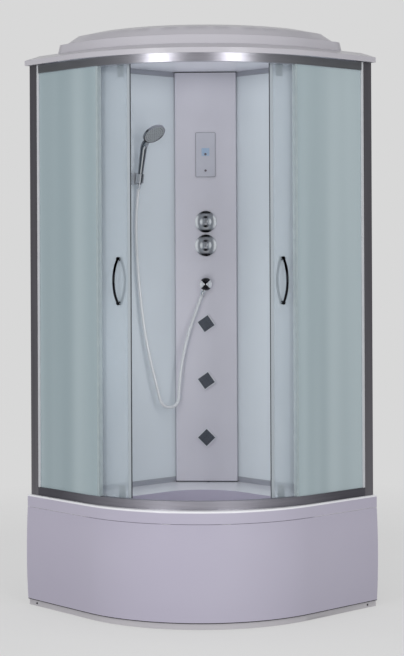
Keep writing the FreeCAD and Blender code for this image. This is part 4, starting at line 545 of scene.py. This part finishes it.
def wound_band(name, tints, rough, turns, settings):
    """A plated band wound round the hose, as a slanted wave in the hose's own UV."""
    material = new_material(name)
    place = add_node(material, "ShaderNodeUVMap", {"uv_map": "wound"})
    parts = add_node(material, "ShaderNodeSeparateXYZ", None, {"Vector": place.outputs["UV"]})
    along = add_node(material, "ShaderNodeMath", {"operation": "MULTIPLY", 1: turns},
                     {0: parts.outputs["Y"]})
    slant = add_node(material, "ShaderNodeMath", {"operation": "ADD"},
                     {0: along.outputs["Value"], 1: parts.outputs["X"]})
    ridge = add_node(material, "ShaderNodeMath", {"operation": "PINGPONG", 1: 0.5},
                     {0: slant.outputs["Value"]})
    double = add_node(material, "ShaderNodeMath", {"operation": "MULTIPLY", 1: 2.0},
                      {0: ridge.outputs["Value"]})
    wave = double.outputs["Value"]
    colour = ramp(material, wave, list(zip((0.1, 0.6), tints)))
    bump = add_node(material, "ShaderNodeBump", {"Strength": 0.5, "Distance": 0.0006},
                    {"Height": wave}).outputs["Normal"]
    return close_shader(material, colour, spread(material, wave, *rough), settings, bump)


def make_materials():
    """Every material of the cabin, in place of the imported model's plain ones."""
    for packed in list(bpy.data.materials):
        bpy.data.materials.remove(packed)
    plastic = {"IOR": 1.49, "Coat Weight": 0.15, "Coat Roughness": 0.08}
    column_band = {"IOR": 1.49, "Metallic": 0.1}
    metal = {"Metallic": 1.0}
    rail = {"Metallic": 0.8}
    post = {"Metallic": 0.4}
    bright = {"Metallic": 0.35}
    vinyl = {"IOR": 1.5, "Alpha": 0.45}
    pane = {"IOR": 1.5, "Alpha": 0.42}
    frosted = {"IOR": 1.5, "Alpha": 0.86}
    return {
        # Tray: cloud noise between two lilac whites, painted paler where it faces up, on its deck and
        # basin, as painted light.
        "tray_acrylic": two_sided("tray_acrylic", ("BBB6C9", "C1BDCE"), ("F3F3F8", "F7F7FB"),
                                  (0.0, 0.0, 1.0), (0.05, 0.35), (0.16, 0.24), plastic),
        # Apron: the same acrylic, with the dark shadow line cut in by height along its foot.
        "apron_acrylic": banded_panel("apron_acrylic", ("BBB6C9", "C1BDCE"), "3B3A40",
                                      APRON_SPAN, (0.16, 0.24), plastic),
        # Toe strip: a greyer acrylic.
        "toe_acrylic": surface("toe_acrylic", ("C4C1C7", "CBC8CD"), 2.2, (0.2, 0.28), plastic),
        # Roof: a greyer, duller acrylic.
        "roof_acrylic": surface("roof_acrylic", ("C0BEC5", "C7C5CC"), 2.2, (0.3, 0.38), plastic),
        # Ceiling sheet: the same acrylic, a little paler and duller.
        "ceiling": surface("ceiling", ("F2F2FA", "F5F5FC"), 2.2, (0.28, 0.36), plastic),
        # Back walls: pale green-white sheet with grey bands cut in by height.
        "back_panel": banded_panel("back_panel", ("D6DDE3", "DBE2E7"), "B2B7BE", WALL_SPAN,
                                   (0.14, 0.2), plastic),
        # Column: silver-lilac lacquer with a little metal in it, fine grain as relief.
        "column": surface("column", ("D6D4DD", "DCDAE3"), 3.0, (0.42, 0.5), column_band,
                          relief=0.00002),
        # Top rail: noise drawn out so that the grain runs level, painted darker at its ends as a
        # reflection of the dark sides.
        "top_rail_metal": curved_rail("top_rail_metal", ("CBC9D4", "D4D2DC"), ("ADB0B6", "B7BAC0"),
                                      (0.28, 0.34), rail),
        # Bottom rail: the same grain, painted darker than the top rail as shade, and darker still at its
        # ends as a painted reflection of the dark sides.
        "low_rail_metal": curved_rail("low_rail_metal", ("A9A7B1", "B4B2BC"), ("5A5961", "64636B"),
                                      (0.36, 0.44), rail),
        # Anodised channels: pale satin metal.
        "satin_aluminium": surface("satin_aluminium", ("A9ABB4", "B4B6BE"), 9.0, (0.3, 0.4), post,
                                   (1.0, 1.0, 22.0), 0.00001),
        # Posts: dark anodised metal with upright grain.
        "dark_aluminium": surface("dark_aluminium", ("66646A", "706E74"), 60.0, (0.3, 0.4), post,
                                  (1.0, 1.0, 0.02), 0.00001),
        # Chrome: almost white metal, a slow polish drift.
        "chrome": surface("chrome", ("DCDEE2", "E6E8EB"), 14.0, (0.03, 0.07), metal),
        # Knob chrome: painted reflection in dark crescents above and below and bright ones at the sides,
        # strong near the edge and round the cap, each knob with its own middle.
        "mixer_chrome": ringed_reflection_metal("mixer_chrome", (0.0, 0.0, MIXER_LEVEL), KNOB_RADIUS,
                                     KNOB_REFLECTION_RINGS, KNOB_REFLECTION_TINTS, (0.05, 0.09), bright),
        "diverter_chrome": ringed_reflection_metal("diverter_chrome", (0.0, 0.0, DIVERTER_LEVEL), KNOB_RADIUS,
                                        KNOB_REFLECTION_RINGS, KNOB_REFLECTION_TINTS, (0.05, 0.09), bright),
        # Outlet chrome: painted reflection, dark down its middle and bright on both sides.
        "outlet_chrome": painted_reflection_metal("outlet_chrome", [(0.0, "0B0B0D"), (0.5, "17181B"),
                                                        (0.57, "E4E5E7"), (1.0, "FFFFFF")],
                                      (0.05, 0.09), bright),
        # Handle chrome: painted reflection, dark in front and along its ends, with a bright line at its
        # sides.
        "handle_chrome": painted_reflection_metal("handle_chrome", [(0.0, "17181B"), (0.8, "26272B"),
                                                        (0.9, "C9CBCE"), (1.0, "F2F3F4")],
                                      (0.06, 0.1), metal),
        # Handset chrome: painted reflection, bright in front, with dark streaks and a bright edge at its
        # sides.
        "handset_chrome": painted_reflection_metal("handset_chrome", [(0.0, "5A5C61"), (0.3, "B4B7BB"),
                                                          (0.5, "C9CBCE"), (0.66, "55585D"),
                                                          (0.85, "8A8D92"), (1.0, "E2E4E6")],
                                       (0.08, 0.12), metal),
        # Plated plastic: greyer plating with a faint orange-peel relief.
        "plated_plastic": surface("plated_plastic", ("C3C6CB", "CDD0D4"), 18.0, (0.2, 0.28), post,
                                  relief=0.00001),
        # Frosted glass: soft upright bands of two teal greys, nearly opaque.
        "frosted_glass": striped_glass("frosted_glass", ("A8B9BF", "C4D3D8"), 5.0, (0.3, 0.42),
                                       frosted),
        # Door glass: the same soft bands, lighter and mostly clear.
        "clear_glass": striped_glass("clear_glass", ("B8C5CF", "C6D0D8"), 4.0, (0.05, 0.1), pane),
        # Dark lip seal: near-black rubber with a dusty mottle.
        "dark_seal": surface("dark_seal", ("33363C", "3E4147"), 60.0, (0.5, 0.62)),
        # Door seal: milky sides and a dark nose.
        "door_seal": two_sided("door_seal", ("A7B0B7", "B0B8BE"), ("262930", "30333A"),
                               (1.0, 0.0, 0.0), (0.5, 0.7), (0.4, 0.5), {}),
        # Pale seal: milky vinyl.
        "pale_seal": surface("pale_seal", ("C3D0D4", "CDD9DC"), 30.0, (0.3, 0.4), vinyl),
        # Glazing bead: bright white vinyl.
        "white_bead": surface("white_bead", ("C9CBD0", "D2D4D8"), 24.0, (0.3, 0.38)),
        # Black moulding with fine grain.
        "black_plastic": surface("black_plastic", ("17181A", "222326"), 50.0, (0.42, 0.55),
                                 relief=0.00004),
        # Roller: pale nylon.
        "roller_plastic": surface("roller_plastic", ("D6D6D2", "DFDFDB"), 50.0, (0.32, 0.42)),
        # Jet housing: pale satin moulding.
        "jet_housing": surface("jet_housing", ("D2D3DA", "DADBE1"), 40.0, (0.26, 0.34)),
        # Jet face: dark slate moulding with fine grain.
        "jet_face": surface("jet_face", ("4B4F59", "545861"), 60.0, (0.4, 0.5), relief=0.00003),
        # Zinc-plated steel: cool and warm greys in a fine crystal mottle.
        "steel": surface("steel", ("A3A5A4", "BDBEBA"), 70.0, (0.28, 0.44), metal),
        # Brass castings: yellow metal with darker patches.
        "brass": surface("brass", ("A98B4E", "C4A566"), 26.0, (0.26, 0.4), metal, relief=0.00006),
        # Grey pipe moulding.
        "grey_plastic": surface("grey_plastic", ("83868B", "8E9196"), 30.0, (0.34, 0.44)),
        # Spray face: matte grey moulding.
        "spray_grey": surface("spray_grey", ("A6AAAD", "B0B4B6"), 46.0, (0.42, 0.52)),
        # Nozzles: soft dark rubber.
        "nozzle_rubber": surface("nozzle_rubber", ("3A3D44", "464951"), 90.0, (0.55, 0.65)),
        # Control plate: glossy lilac-silver sheet.
        "control_face": outlined_panel("control_face", ("C6C6D0", "CDCDD6"), "85858F",
                                       PLATE_MIDDLE, PLATE_LINE, (0.3, 0.38), plastic),
        # Control screen: pale blue window.
        "screen_window": surface("screen_window", ("A9C0DA", "B9CCE2"), 40.0, (0.08, 0.14), plastic),
        # Buttons: reddish grey moulding.
        "button_plastic": surface("button_plastic", ("6A6068", "766C74"), 90.0, (0.36, 0.46)),
        # Hose: a silver band wound round it, drawn in its own UV.
        "hose_skin": wound_band("hose_skin", ("CFD1D5", "F6F7F8"), (0.2, 0.3), 1.0,
                                {"Metallic": 0.3}),
    }


# Which nodes belong together, with the material and the record's slot of each.

MOULDINGS = {
    "tray": ("tray_acrylic", "acrylic"), "apron": ("apron_acrylic", "acrylic"),
    "toe_strip": ("toe_acrylic", "acrylic"), "roof": ("roof_acrylic", "acrylic"),
    "ceiling_panel": ("ceiling", "acrylic"),
}
FRAMING = {
    "bottom_rail": ("low_rail_metal", "satin_aluminium"),
    "top_rail": ("top_rail_metal", "satin_aluminium"),
    "wall_posts": ("dark_aluminium", "satin_aluminium"),
    "wall_channels": ("satin_aluminium", "satin_aluminium"),
    "glazing_beads": ("white_bead", "white_bead"),
}
GLAZING = {
    "left_fixed_glass": ("frosted_glass", "frosted_glass"),
    "right_fixed_glass": ("frosted_glass", "frosted_glass"),
    "left_door_glass": ("clear_glass", "clear_glass"),
    "right_door_glass": ("clear_glass", "clear_glass"),
    "left_door_seal": ("door_seal", "dark_seal"),
    "right_door_seal": ("door_seal", "dark_seal"),
    "fixed_edge_seals": ("pale_seal", "pale_seal"),
}
HANDLES = {
    "left_door_handles": ("handle_chrome", "chrome"),
    "right_door_handles": ("handle_chrome", "chrome"),
}
RUNNERS = {
    side + "_" + part: finish
    for side in ("left", "right")
    for part, finish in {
        "roller_brackets": ("steel", "steel"),
        "top_lead_roller": ("roller_plastic", "roller_plastic"),
        "top_trail_roller": ("roller_plastic", "roller_plastic"),
        "low_lead_roller": ("roller_plastic", "roller_plastic"),
        "low_trail_roller": ("roller_plastic", "roller_plastic"),
    }.items()
}
BACK = {
    "left_back_wall": ("back_panel", "back_panel"), "right_back_wall": ("back_panel", "back_panel"),
    "column_shell": ("column", "column"), "column_seals": ("dark_seal", "dark_seal"),
}
MIXER = {
    "mixer_knob": ("mixer_chrome", "chrome"), "diverter_knob": ("diverter_chrome", "chrome"),
    "hose_outlet": ("outlet_chrome", "chrome"), "outlet_nut": ("chrome", "chrome"),
    "valve_body": ("brass", "brass"),
    "supply_pipe_and_fittings": ("grey_plastic", "grey_plastic"),
}
JETS = {
    "jet_1": ("jet_housing", "jet_plastic"), "jet_2": ("jet_housing", "jet_plastic"),
    "jet_3": ("jet_housing", "jet_plastic"),
}
CONTROLS = {
    "control_plate": ("control_face", "control_face"),
    "upper_button": ("button_plastic", "button_plastic"),
    "lower_button": ("button_plastic", "button_plastic"),
}
HAND_SHOWER = {
    "shower_bracket": ("plated_plastic", "plated_plastic"),
    "shower_clip": ("plated_plastic", "plated_plastic"),
    "handset": ("handset_chrome", "plated_plastic"),
    "spray_face": ("spray_grey", "grey_plastic"), "handset_nut": ("chrome", "chrome"),
}
UNDERSIDE = {
    "tray_frame": ("steel", "steel"), "foot_studs_and_nuts": ("steel", "steel"),
    "foot_pads": ("black_plastic", "black_plastic"), "apron_brackets": ("steel", "steel"),
    "toe_screws": ("black_plastic", "steel"), "waste_flange": ("chrome", "chrome"),
    "waste_cover": ("chrome", "chrome"), "waste_trap": ("grey_plastic", "grey_plastic"),
    "waste_pipe": ("grey_plastic", "grey_plastic"),
}


# Shapes

def link_mesh(name, work, material_name):
    """Makes a mesh object from a finished bmesh, with one material."""
    mesh = bpy.data.meshes.new(name)
    work.to_mesh(mesh)
    work.free()
    mesh.materials.append(bpy.data.materials[material_name])
    piece = bpy.data.objects.new(name, mesh)
    bpy.context.scene.collection.objects.link(piece)
    return piece


def smooth_copy(node, material_name, slot):
    """A shaded copy of a CAD node: corners joined, flat faces whole, curves smooth, edges crisp."""
    settings = bpy.context.scene.shower_copies
    source = frame["nodes"][node]
    source.data.materials.clear()
    source.data.materials.append(bpy.data.materials[material_name])
    work = bmesh.new()
    work.from_mesh(source.data)
    bmesh.ops.remove_doubles(work, verts=work.verts, dist=settings.join)
    bmesh.ops.dissolve_limit(work, angle_limit=settings.flat, use_dissolve_boundaries=False,
                             verts=work.verts, edges=work.edges)
    for face in work.faces:
        face.smooth = True
    for edge in work.edges:
        edge.smooth = edge.calc_face_angle(0.0) < settings.sharp
    piece = link_mesh(node + "_skin", work, material_name)
    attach(piece, source["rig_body"])
    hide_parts(node)
    return piece


def copy_group(group):
    """A shaded copy of each node of a group."""
    return {node: smooth_copy(node, *finish) for node, finish in group.items()}


def front_face(node):
    """The middle of a node's widest flat face on its front side, and the turn that lays +Z on it."""
    totals = {}
    for face in frame["nodes"][node].data.polygons:
        if face.normal.y < 0.0:
            key = (*(round(share, 2) for share in face.normal),
                   round(face.normal.dot(face.center), 4))
            area, middle, outward = totals.get(key, (0.0, Vector(), Vector()))
            totals[key] = (area + face.area, middle + face.center * face.area,
                           outward + face.normal * face.area)
    area, middle, outward = max(totals.values(), key=lambda total: total[0])
    return middle / area, outward.to_track_quat("Z", "Y").to_matrix()


def inlay(name, node, middle, turn, outline, hole, thickness, material_name):
    """A thin plate on a face, drawn by its outline and, if wanted, the outline of a hole in it."""
    work = bmesh.new()
    levels = []
    for level in (0.0, thickness):
        outer = [work.verts.new(middle + turn @ Vector((*place, level))) for place in outline]
        inner = [work.verts.new(middle + turn @ Vector((*place, level))) for place in hole]
        levels.append((outer, inner))
    (low_outer, low_inner), (high_outer, high_inner) = levels
    for step in range(len(outline)):
        further = (step + 1) % len(outline)
        work.faces.new((low_outer[step], low_outer[further], high_outer[further], high_outer[step]))
        if hole:
            work.faces.new((low_inner[step], low_inner[further],
                            high_inner[further], high_inner[step]))
            work.faces.new((high_outer[step], high_outer[further],
                            high_inner[further], high_inner[step]))
            work.faces.new((low_outer[step], low_outer[further],
                            low_inner[further], low_inner[step]))
    if not hole:
        work.faces.new(high_outer)
        work.faces.new(reversed(low_outer))
    bmesh.ops.recalc_face_normals(work, faces=work.faces)
    piece = link_mesh(name, work, material_name)
    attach(piece, frame["nodes"][node]["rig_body"])
    return piece


def square_round_hole(low, high, radius, sides):
    """A rectangle about a round hole at the origin, as two outlines with a point for each ray."""
    corners = [(across, up) for across in (low[0], high[0]) for up in (low[1], high[1])]
    angles = sorted([FULL_TURN * step / sides - math.pi for step in range(sides)]
                    + [math.atan2(up, across) for across, up in corners])
    outline = []
    hole = []
    for angle in angles:
        across, up = math.cos(angle), math.sin(angle)
        reach = min((edges[ray > 0.0] / ray) for ray, edges in
                    ((across, (low[0], high[0])), (up, (low[1], high[1]))) if abs(ray) > 1e-6)
        outline.append((across * reach, up * reach))
        hole.append((across * radius, up * radius))
    return outline, hole


def square(side):
    """The corners of a square about the origin."""
    half = side / 2
    return ((-half, -half), (half, -half), (half, half), (-half, half))


def nozzle(work, middle, turn):
    """One bored nozzle, as a turned ring, added to a bmesh."""
    settings = bpy.context.scene.shower_nozzles
    profile = (
        (settings.foot / 2, 0.0), (settings.tip / 2, settings.rise),
        (settings.bore / 2, settings.rise), (settings.bore / 2, 0.0),
    )
    rings = []
    for step in range(settings.sides):
        angle = FULL_TURN * step / settings.sides
        spin = Matrix.Rotation(angle, 3, "Z")
        rings.append([work.verts.new(middle + turn @ (spin @ Vector((across, 0.0, up))))
                      for across, up in profile])
    for step, ring in enumerate(rings):
        after = rings[(step + 1) % settings.sides]
        for place in range(len(profile)):
            further = (place + 1) % len(profile)
            work.faces.new((ring[place], after[place], after[further], ring[further]))


def nozzle_field(name, node, middle, turn, places):
    """One piece of many nozzles that stand on a face and move with its body."""
    work = bmesh.new()
    for across, up in places:
        nozzle(work, middle + turn @ Vector((across, up, 0.0)), turn)
    bmesh.ops.recalc_face_normals(work, faces=work.faces)
    piece = link_mesh(name, work, "nozzle_rubber")
    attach(piece, frame["nodes"][node]["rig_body"])
    return piece


def route_line(points, steps):
    """The points along the NURBS line of a route."""
    curve = bpy.data.curves.new("route", "CURVE")
    curve.dimensions = "3D"
    spline = curve.splines.new("NURBS")
    spline.points.add(len(points) - 1)
    for knot, place in zip(spline.points, points):
        knot.co = (*place, 1.0)
    spline.order_u = 3
    spline.use_endpoint_u = True
    spline.resolution_u = steps
    holder = bpy.data.objects.new("route", curve)
    mesh = bpy.data.meshes.new_from_object(holder)
    line = [vertex.co.copy() for vertex in mesh.vertices]
    bpy.data.objects.remove(holder)
    bpy.data.curves.remove(curve)
    bpy.data.meshes.remove(mesh)
    return line


def tube_mesh(line, radius, sides, pitch):
    """A closed tube along a line, with a UV that counts turns round it and pitches along it."""
    work = bmesh.new()
    wound = work.loops.layers.uv.new("wound")
    across = None
    travelled = 0.0
    rings = []
    for place, middle in enumerate(line):
        ahead = line[min(place + 1, len(line) - 1)] - line[max(place - 1, 0)]
        ahead.normalize()
        if across is None:
            across = ahead.orthogonal().normalized()
        else:
            travelled += (middle - line[place - 1]).length
            across = (across - ahead * across.dot(ahead)).normalized()
        side = ahead.cross(across)
        ring = [work.verts.new(middle + radius * (math.cos(turn) * across + math.sin(turn) * side))
                for turn in (FULL_TURN * step / sides for step in range(sides))]
        rings.append((ring, travelled / pitch))
    for (ring, low), (after, high) in zip(rings, rings[1:]):
        for step in range(sides):
            further = (step + 1) % sides
            face = work.faces.new((ring[step], ring[further], after[further], after[step]))
            face.smooth = True
            near, far = step / sides, (step + 1) / sides
            for loop, place in zip(face.loops, ((near, low), (far, low), (far, high), (near, high))):
                loop[wound].uv = place
    work.faces.new(reversed(rings[0][0]))
    work.faces.new(rings[-1][0])
    bmesh.ops.recalc_face_normals(work, faces=work.faces)
    return work


class SHOWER_OT_stage(bpy.types.Operator):
    """Sets the camera, the studio light, the floor and the cards that polished metal mirrors"""
    bl_idname = "shower.stage"
    bl_label = "Stage"

    def execute(self, context):
        settings = context.scene.shower_stage
        self.place_camera(context, settings)
        self.light_world(context, settings)
        self.hang_lamps(context, settings)
        self.lay_floor(settings)
        self.hang_cards(settings)
        context.scene.view_settings.view_transform = "Standard"
        return {"FINISHED"}

    def place_camera(self, context, settings):
        """The camera at the photograph's place, with its shift."""
        data = bpy.data.cameras.new("camera")
        data.sensor_width = SENSOR
        data.sensor_height = SENSOR
        data.lens = settings.focal_pixels * SENSOR / PICTURE_HEIGHT
        data.shift_x = settings.shift_across
        data.shift_y = settings.shift_up
        camera = bpy.data.objects.new("camera", data)
        camera.location = settings.camera_place
        camera.rotation_euler = (QUARTER_TURN, settings.camera_roll, settings.camera_heading)
        context.scene.collection.objects.link(camera)
        context.scene.camera = camera

    def light_world(self, context, settings):
        """Even light from all sides, and the backdrop's own colour where it is seen or mirrored."""
        world = bpy.data.worlds.new("studio")
        world.use_nodes = True
        world.node_tree.nodes.clear()
        seen = seen_directly(world)
        light = add_node(world, "ShaderNodeBackground", {"Strength": settings.sky_strength})
        grey = linear("D8D8D8")
        backdrop = add_node(world, "ShaderNodeBackground", {"Color": grey, "Strength": 1.0})
        mixed = add_node(world, "ShaderNodeMixShader", None,
                         {0: seen, 1: light.outputs["Background"],
                          2: backdrop.outputs["Background"]})
        light.inputs["Color"].default_value = linear("FFFFFF")
        add_node(world, "ShaderNodeOutputWorld", None, {"Surface": mixed.outputs["Shader"]})
        context.scene.world = world

    def hang_lamps(self, context, settings):
        """Two large lamps that polished metal mirrors, one that it doesn't, and three inside."""
        aim = Vector((0.0, 0.0, (CAD_BOX[0][2] + CAD_BOX[1][2]) / 2))
        for name, place, power in (("left_lamp", settings.left_place, settings.key_power),
                                   ("right_lamp", settings.right_place, settings.fill_power),
                                   ("front_lamp", settings.front_place, settings.front_power)):
            lamp = self.hang_lamp(context, name, "AREA", power, place)
            lamp.data.shape = "RECTANGLE"
            lamp.data.size = settings.lamp_width
            lamp.data.size_y = settings.lamp_height
            lamp.rotation_euler = (aim - lamp.location).to_track_quat("-Z", "Y").to_euler()
            lamp.visible_glossy = name != "front_lamp"
        for name, power, height, turn in (
                ("inner_lamp", settings.inner_power, settings.inner_height, 0.0),
                ("ceiling_lamp", settings.ceiling_power, settings.ceiling_lamp_height,
                 2 * QUARTER_TURN)):
            lamp = self.hang_lamp(context, name, "AREA", power, (0.0, 0.0, height))
            lamp.data.shape = "DISK"
            lamp.data.size = settings.inner_size
            lamp.rotation_euler = (turn, 0.0, 0.0)
            lamp.visible_glossy = False
        middle = self.hang_lamp(context, "middle_lamp", "POINT", settings.middle_power,
                                settings.middle_place)
        middle.data.shadow_soft_size = settings.inner_size / 6
        middle.visible_glossy = False

    def hang_lamp(self, context, name, kind, power, place):
        """One lamp."""
        data = bpy.data.lights.new(name, kind)
        data.energy = power
        lamp = bpy.data.objects.new(name, data)
        lamp.location = place
        context.scene.collection.objects.link(lamp)
        return lamp

    def lay_floor(self, settings):
        """A round pale floor whose edge fades into the backdrop."""
        material = new_material("studio_floor")
        place = add_node(material, "ShaderNodeTexCoord")
        flat = add_node(material, "ShaderNodeVectorMath", {"operation": "MULTIPLY"},
                        {0: place.outputs["Object"]})
        flat.inputs[1].default_value = (1.0, 1.0, 0.0)
        reach = add_node(material, "ShaderNodeVectorMath", {"operation": "LENGTH"},
                         {0: flat.outputs["Vector"]})
        fade = add_node(material, "ShaderNodeMapRange",
                        {"From Min": settings.floor_solid, "From Max": settings.floor_radius},
                        {"Value": reach.outputs["Value"]})
        shader = add_node(material, "ShaderNodeBsdfDiffuse", {"Color": linear("9A9A9A")})
        seen = seen_directly(material)
        glow = add_node(material, "ShaderNodeMath",
                        {"operation": "MULTIPLY", 1: settings.floor_glow}, {0: seen})
        shine = add_node(material, "ShaderNodeEmission", None, {"Strength": glow.outputs["Value"]})
        both = add_node(material, "ShaderNodeAddShader", None,
                        {0: shader.outputs["BSDF"], 1: shine.outputs["Emission"]})
        clear = add_node(material, "ShaderNodeBsdfTransparent")
        mixed = add_node(material, "ShaderNodeMixShader", None,
                         {0: fade.outputs["Result"], 1: both.outputs["Shader"],
                          2: clear.outputs["BSDF"]})
        add_node(material, "ShaderNodeOutputMaterial", None, {"Surface": mixed.outputs["Shader"]})
        work = bmesh.new()
        bmesh.ops.create_circle(work, cap_ends=True, segments=96, radius=settings.floor_radius)
        link_mesh("floor", work, "studio_floor")

    def hang_cards(self, settings):
        """Dark cards in front and above, which only mirrors see, as in a dim studio."""
        surface("dark_card", ("1B1C1F", "232427"), 0.5, (0.85, 0.95))
        half = settings.card_width / 2
        away = settings.card_distance
        high = away
        corners = {
            "front_card": ((-half, -away, 0.0), (half, -away, 0.0), (half, -away, high),
                           (-half, -away, high)),
            "upper_card": ((-half, -away, high), (half, -away, high), (half, half, high),
                           (-half, half, high)),
            "left_card": ((-half, -away, 0.0), (-half, half, 0.0), (-half, half, high),
                          (-half, -away, high)),
            "right_card": ((half, -away, 0.0), (half, half, 0.0), (half, half, high),
                           (half, -away, high)),
        }
        for name, places in corners.items():
            work = bmesh.new()
            work.faces.new([work.verts.new(place) for place in places])
            card = link_mesh(name, work, "dark_card")
            card.visible_camera = False
            card.visible_diffuse = False
            card.visible_transmission = False
            card.visible_shadow = False


class SHOWER_OT_hose(bpy.types.Operator):
    """Winds the flexible hose between the outlet and the handset"""
    bl_idname = "shower.hose"
    bl_label = "Hose"

    def execute(self, context):
        settings = context.scene.shower_hose
        frame["nodes"]["shower_hose"].data.materials.clear()
        frame["nodes"]["shower_hose"].data.materials.append(bpy.data.materials["hose_skin"])
        line = route_line(tuple(reversed(HOSE_ROUTE)), settings.steps)
        work = tube_mesh(line, settings.diameter / 2, settings.sides, settings.pitch)
        hose = link_mesh("hose", work, "hose_skin")
        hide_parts("shower_hose")
        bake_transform(hose)
        return {"FINISHED"}


class SHOWER_OT_mouldings(bpy.types.Operator):
    """Finishes the tray, its apron, the toe strip, the roof and the ceiling"""
    bl_idname = "shower.mouldings"
    bl_label = "Mouldings"

    def execute(self, context):
        copy_group(MOULDINGS)
        return {"FINISHED"}


class SHOWER_OT_framing(bpy.types.Operator):
    """Finishes the rails, the posts, the wall channels and the glazing beads"""
    bl_idname = "shower.framing"
    bl_label = "Rails and posts"

    def execute(self, context):
        copy_group(FRAMING)
        return {"FINISHED"}


class SHOWER_OT_glazing(bpy.types.Operator):
    """Finishes the fixed panes, the sliding doors and their seals"""
    bl_idname = "shower.glazing"
    bl_label = "Glass"

    def execute(self, context):
        copy_group(GLAZING)
        return {"FINISHED"}


class SHOWER_OT_handles(bpy.types.Operator):
    """Finishes the bow handles of both doors"""
    bl_idname = "shower.handles"
    bl_label = "Door handles"

    def execute(self, context):
        copy_group(HANDLES)
        return {"FINISHED"}


class SHOWER_OT_runners(bpy.types.Operator):
    """Finishes the brackets and rollers that carry the doors"""
    bl_idname = "shower.runners"
    bl_label = "Door rollers"

    def execute(self, context):
        copy_group(RUNNERS)
        return {"FINISHED"}


class SHOWER_OT_back(bpy.types.Operator):
    """Finishes the back walls and the column"""
    bl_idname = "shower.back"
    bl_label = "Back walls and column"

    def execute(self, context):
        copy_group(BACK)
        return {"FINISHED"}


class SHOWER_OT_mixer(bpy.types.Operator):
    """Finishes the knobs, the outlet and the valve behind them"""
    bl_idname = "shower.mixer"
    bl_label = "Knobs and outlet"

    def execute(self, context):
        copy_group(MIXER)
        return {"FINISHED"}


class SHOWER_OT_jets(bpy.types.Operator):
    """Finishes the body jets and sets their nozzles"""
    bl_idname = "shower.jets"
    bl_label = "Body jets"

    def execute(self, context):
        settings = context.scene.shower_nozzles
        copy_group(JETS)
        for node in JETS:
            middle, turn = front_face(node)
            middle += turn @ Vector((0.0, 0.0, settings.inlay_gap))
            turn = turn @ Matrix.Rotation(JET_TURNS[node], 3, "Z")
            inlay(node + "_face", node, middle, turn, square(settings.jet_side), (),
                  settings.inlay_thickness, "jet_face")
            steps = [settings.jet_gap * (step - (settings.jet_rows - 1) / 2)
                     for step in range(settings.jet_rows)]
            middle += turn @ Vector((0.0, 0.0, settings.inlay_thickness))
            nozzle_field(node + "_nozzles", node, middle, turn,
                         [(across, up) for across in steps for up in steps])
        return {"FINISHED"}


class SHOWER_OT_controls(bpy.types.Operator):
    """Finishes the control plate and its buttons"""
    bl_idname = "shower.controls"
    bl_label = "Control plate"

    def execute(self, context):
        settings = context.scene.shower_controls
        copy_group(CONTROLS)
        turn = front_face("control_plate")[1]
        half = settings.window_side / 2
        low = (-half, settings.window_level - half - settings.button_level)
        high = (half, settings.window_level + half - settings.button_level)
        outline, hole = square_round_hole(low, high, settings.hole_radius, settings.hole_sides)
        middle = Vector((0.0, settings.window_depth, settings.button_level))
        inlay("screen_window", "control_plate", middle, turn, outline, hole,
              settings.window_thickness, "screen_window")
        return {"FINISHED"}


class SHOWER_OT_hand_shower(bpy.types.Operator):
    """Finishes the handset, its clip and its spray face"""
    bl_idname = "shower.hand_shower"
    bl_label = "Hand shower"

    def execute(self, context):
        settings = context.scene.shower_nozzles
        copy_group(HAND_SHOWER)
        middle, turn = front_face("spray_face")
        places = [(0.0, 0.0)]
        for ring in range(1, settings.rings + 1):
            count = 6 * ring
            places += [(ring * settings.ring_gap * math.cos(FULL_TURN * step / count),
                        ring * settings.ring_gap * math.sin(FULL_TURN * step / count))
                       for step in range(count)]
        nozzle_field("spray_nozzles", "spray_face", middle, turn, places)
        return {"FINISHED"}


class SHOWER_OT_underside(bpy.types.Operator):
    """Finishes the frame, the feet and the waste under the tray"""
    bl_idname = "shower.underside"
    bl_label = "Frame, feet and waste"

    def execute(self, context):
        copy_group(UNDERSIDE)
        return {"FINISHED"}


PIECE_OPERATORS = (
    SHOWER_OT_stage, SHOWER_OT_hose, SHOWER_OT_mouldings, SHOWER_OT_framing, SHOWER_OT_glazing,
    SHOWER_OT_handles, SHOWER_OT_runners, SHOWER_OT_back, SHOWER_OT_mixer, SHOWER_OT_jets,
    SHOWER_OT_controls, SHOWER_OT_hand_shower, SHOWER_OT_underside,
)


class SHOWER_PT_panel(bpy.types.Panel):
    """Lists the operators that make the cabin's pieces"""
    bl_idname = "SHOWER_PT_panel"
    bl_label = "Shower cabin"
    bl_space_type = "VIEW_3D"
    bl_region_type = "UI"
    bl_category = "Shower"

    def draw(self, context):
        for operator in PIECE_OPERATORS:
            self.layout.operator(operator.bl_idname, text=operator.bl_label)


def register():
    for group in SETTINGS.values():
        bpy.utils.register_class(group)
    for name, group in SETTINGS.items():
        setattr(bpy.types.Scene, name, PointerProperty(type=group))
    for operator in PIECE_OPERATORS:
        bpy.utils.register_class(operator)
    bpy.utils.register_class(SHOWER_PT_panel)


def unregister():
    bpy.utils.unregister_class(SHOWER_PT_panel)
    for operator in reversed(PIECE_OPERATORS):
        bpy.utils.unregister_class(operator)
    for name in SETTINGS:
        delattr(bpy.types.Scene, name)
    for group in reversed(list(SETTINGS.values())):
        bpy.utils.unregister_class(group)


def main():
    register()
    make_materials()
    bpy.ops.shower.stage()
    bpy.ops.shower.hose()
    bpy.ops.shower.mouldings()
    bpy.ops.shower.framing()
    bpy.ops.shower.glazing()
    bpy.ops.shower.handles()
    bpy.ops.shower.runners()
    bpy.ops.shower.back()
    bpy.ops.shower.mixer()
    bpy.ops.shower.jets()
    bpy.ops.shower.controls()
    bpy.ops.shower.hand_shower()
    bpy.ops.shower.underside()


if __name__ == "__main__":
    main()
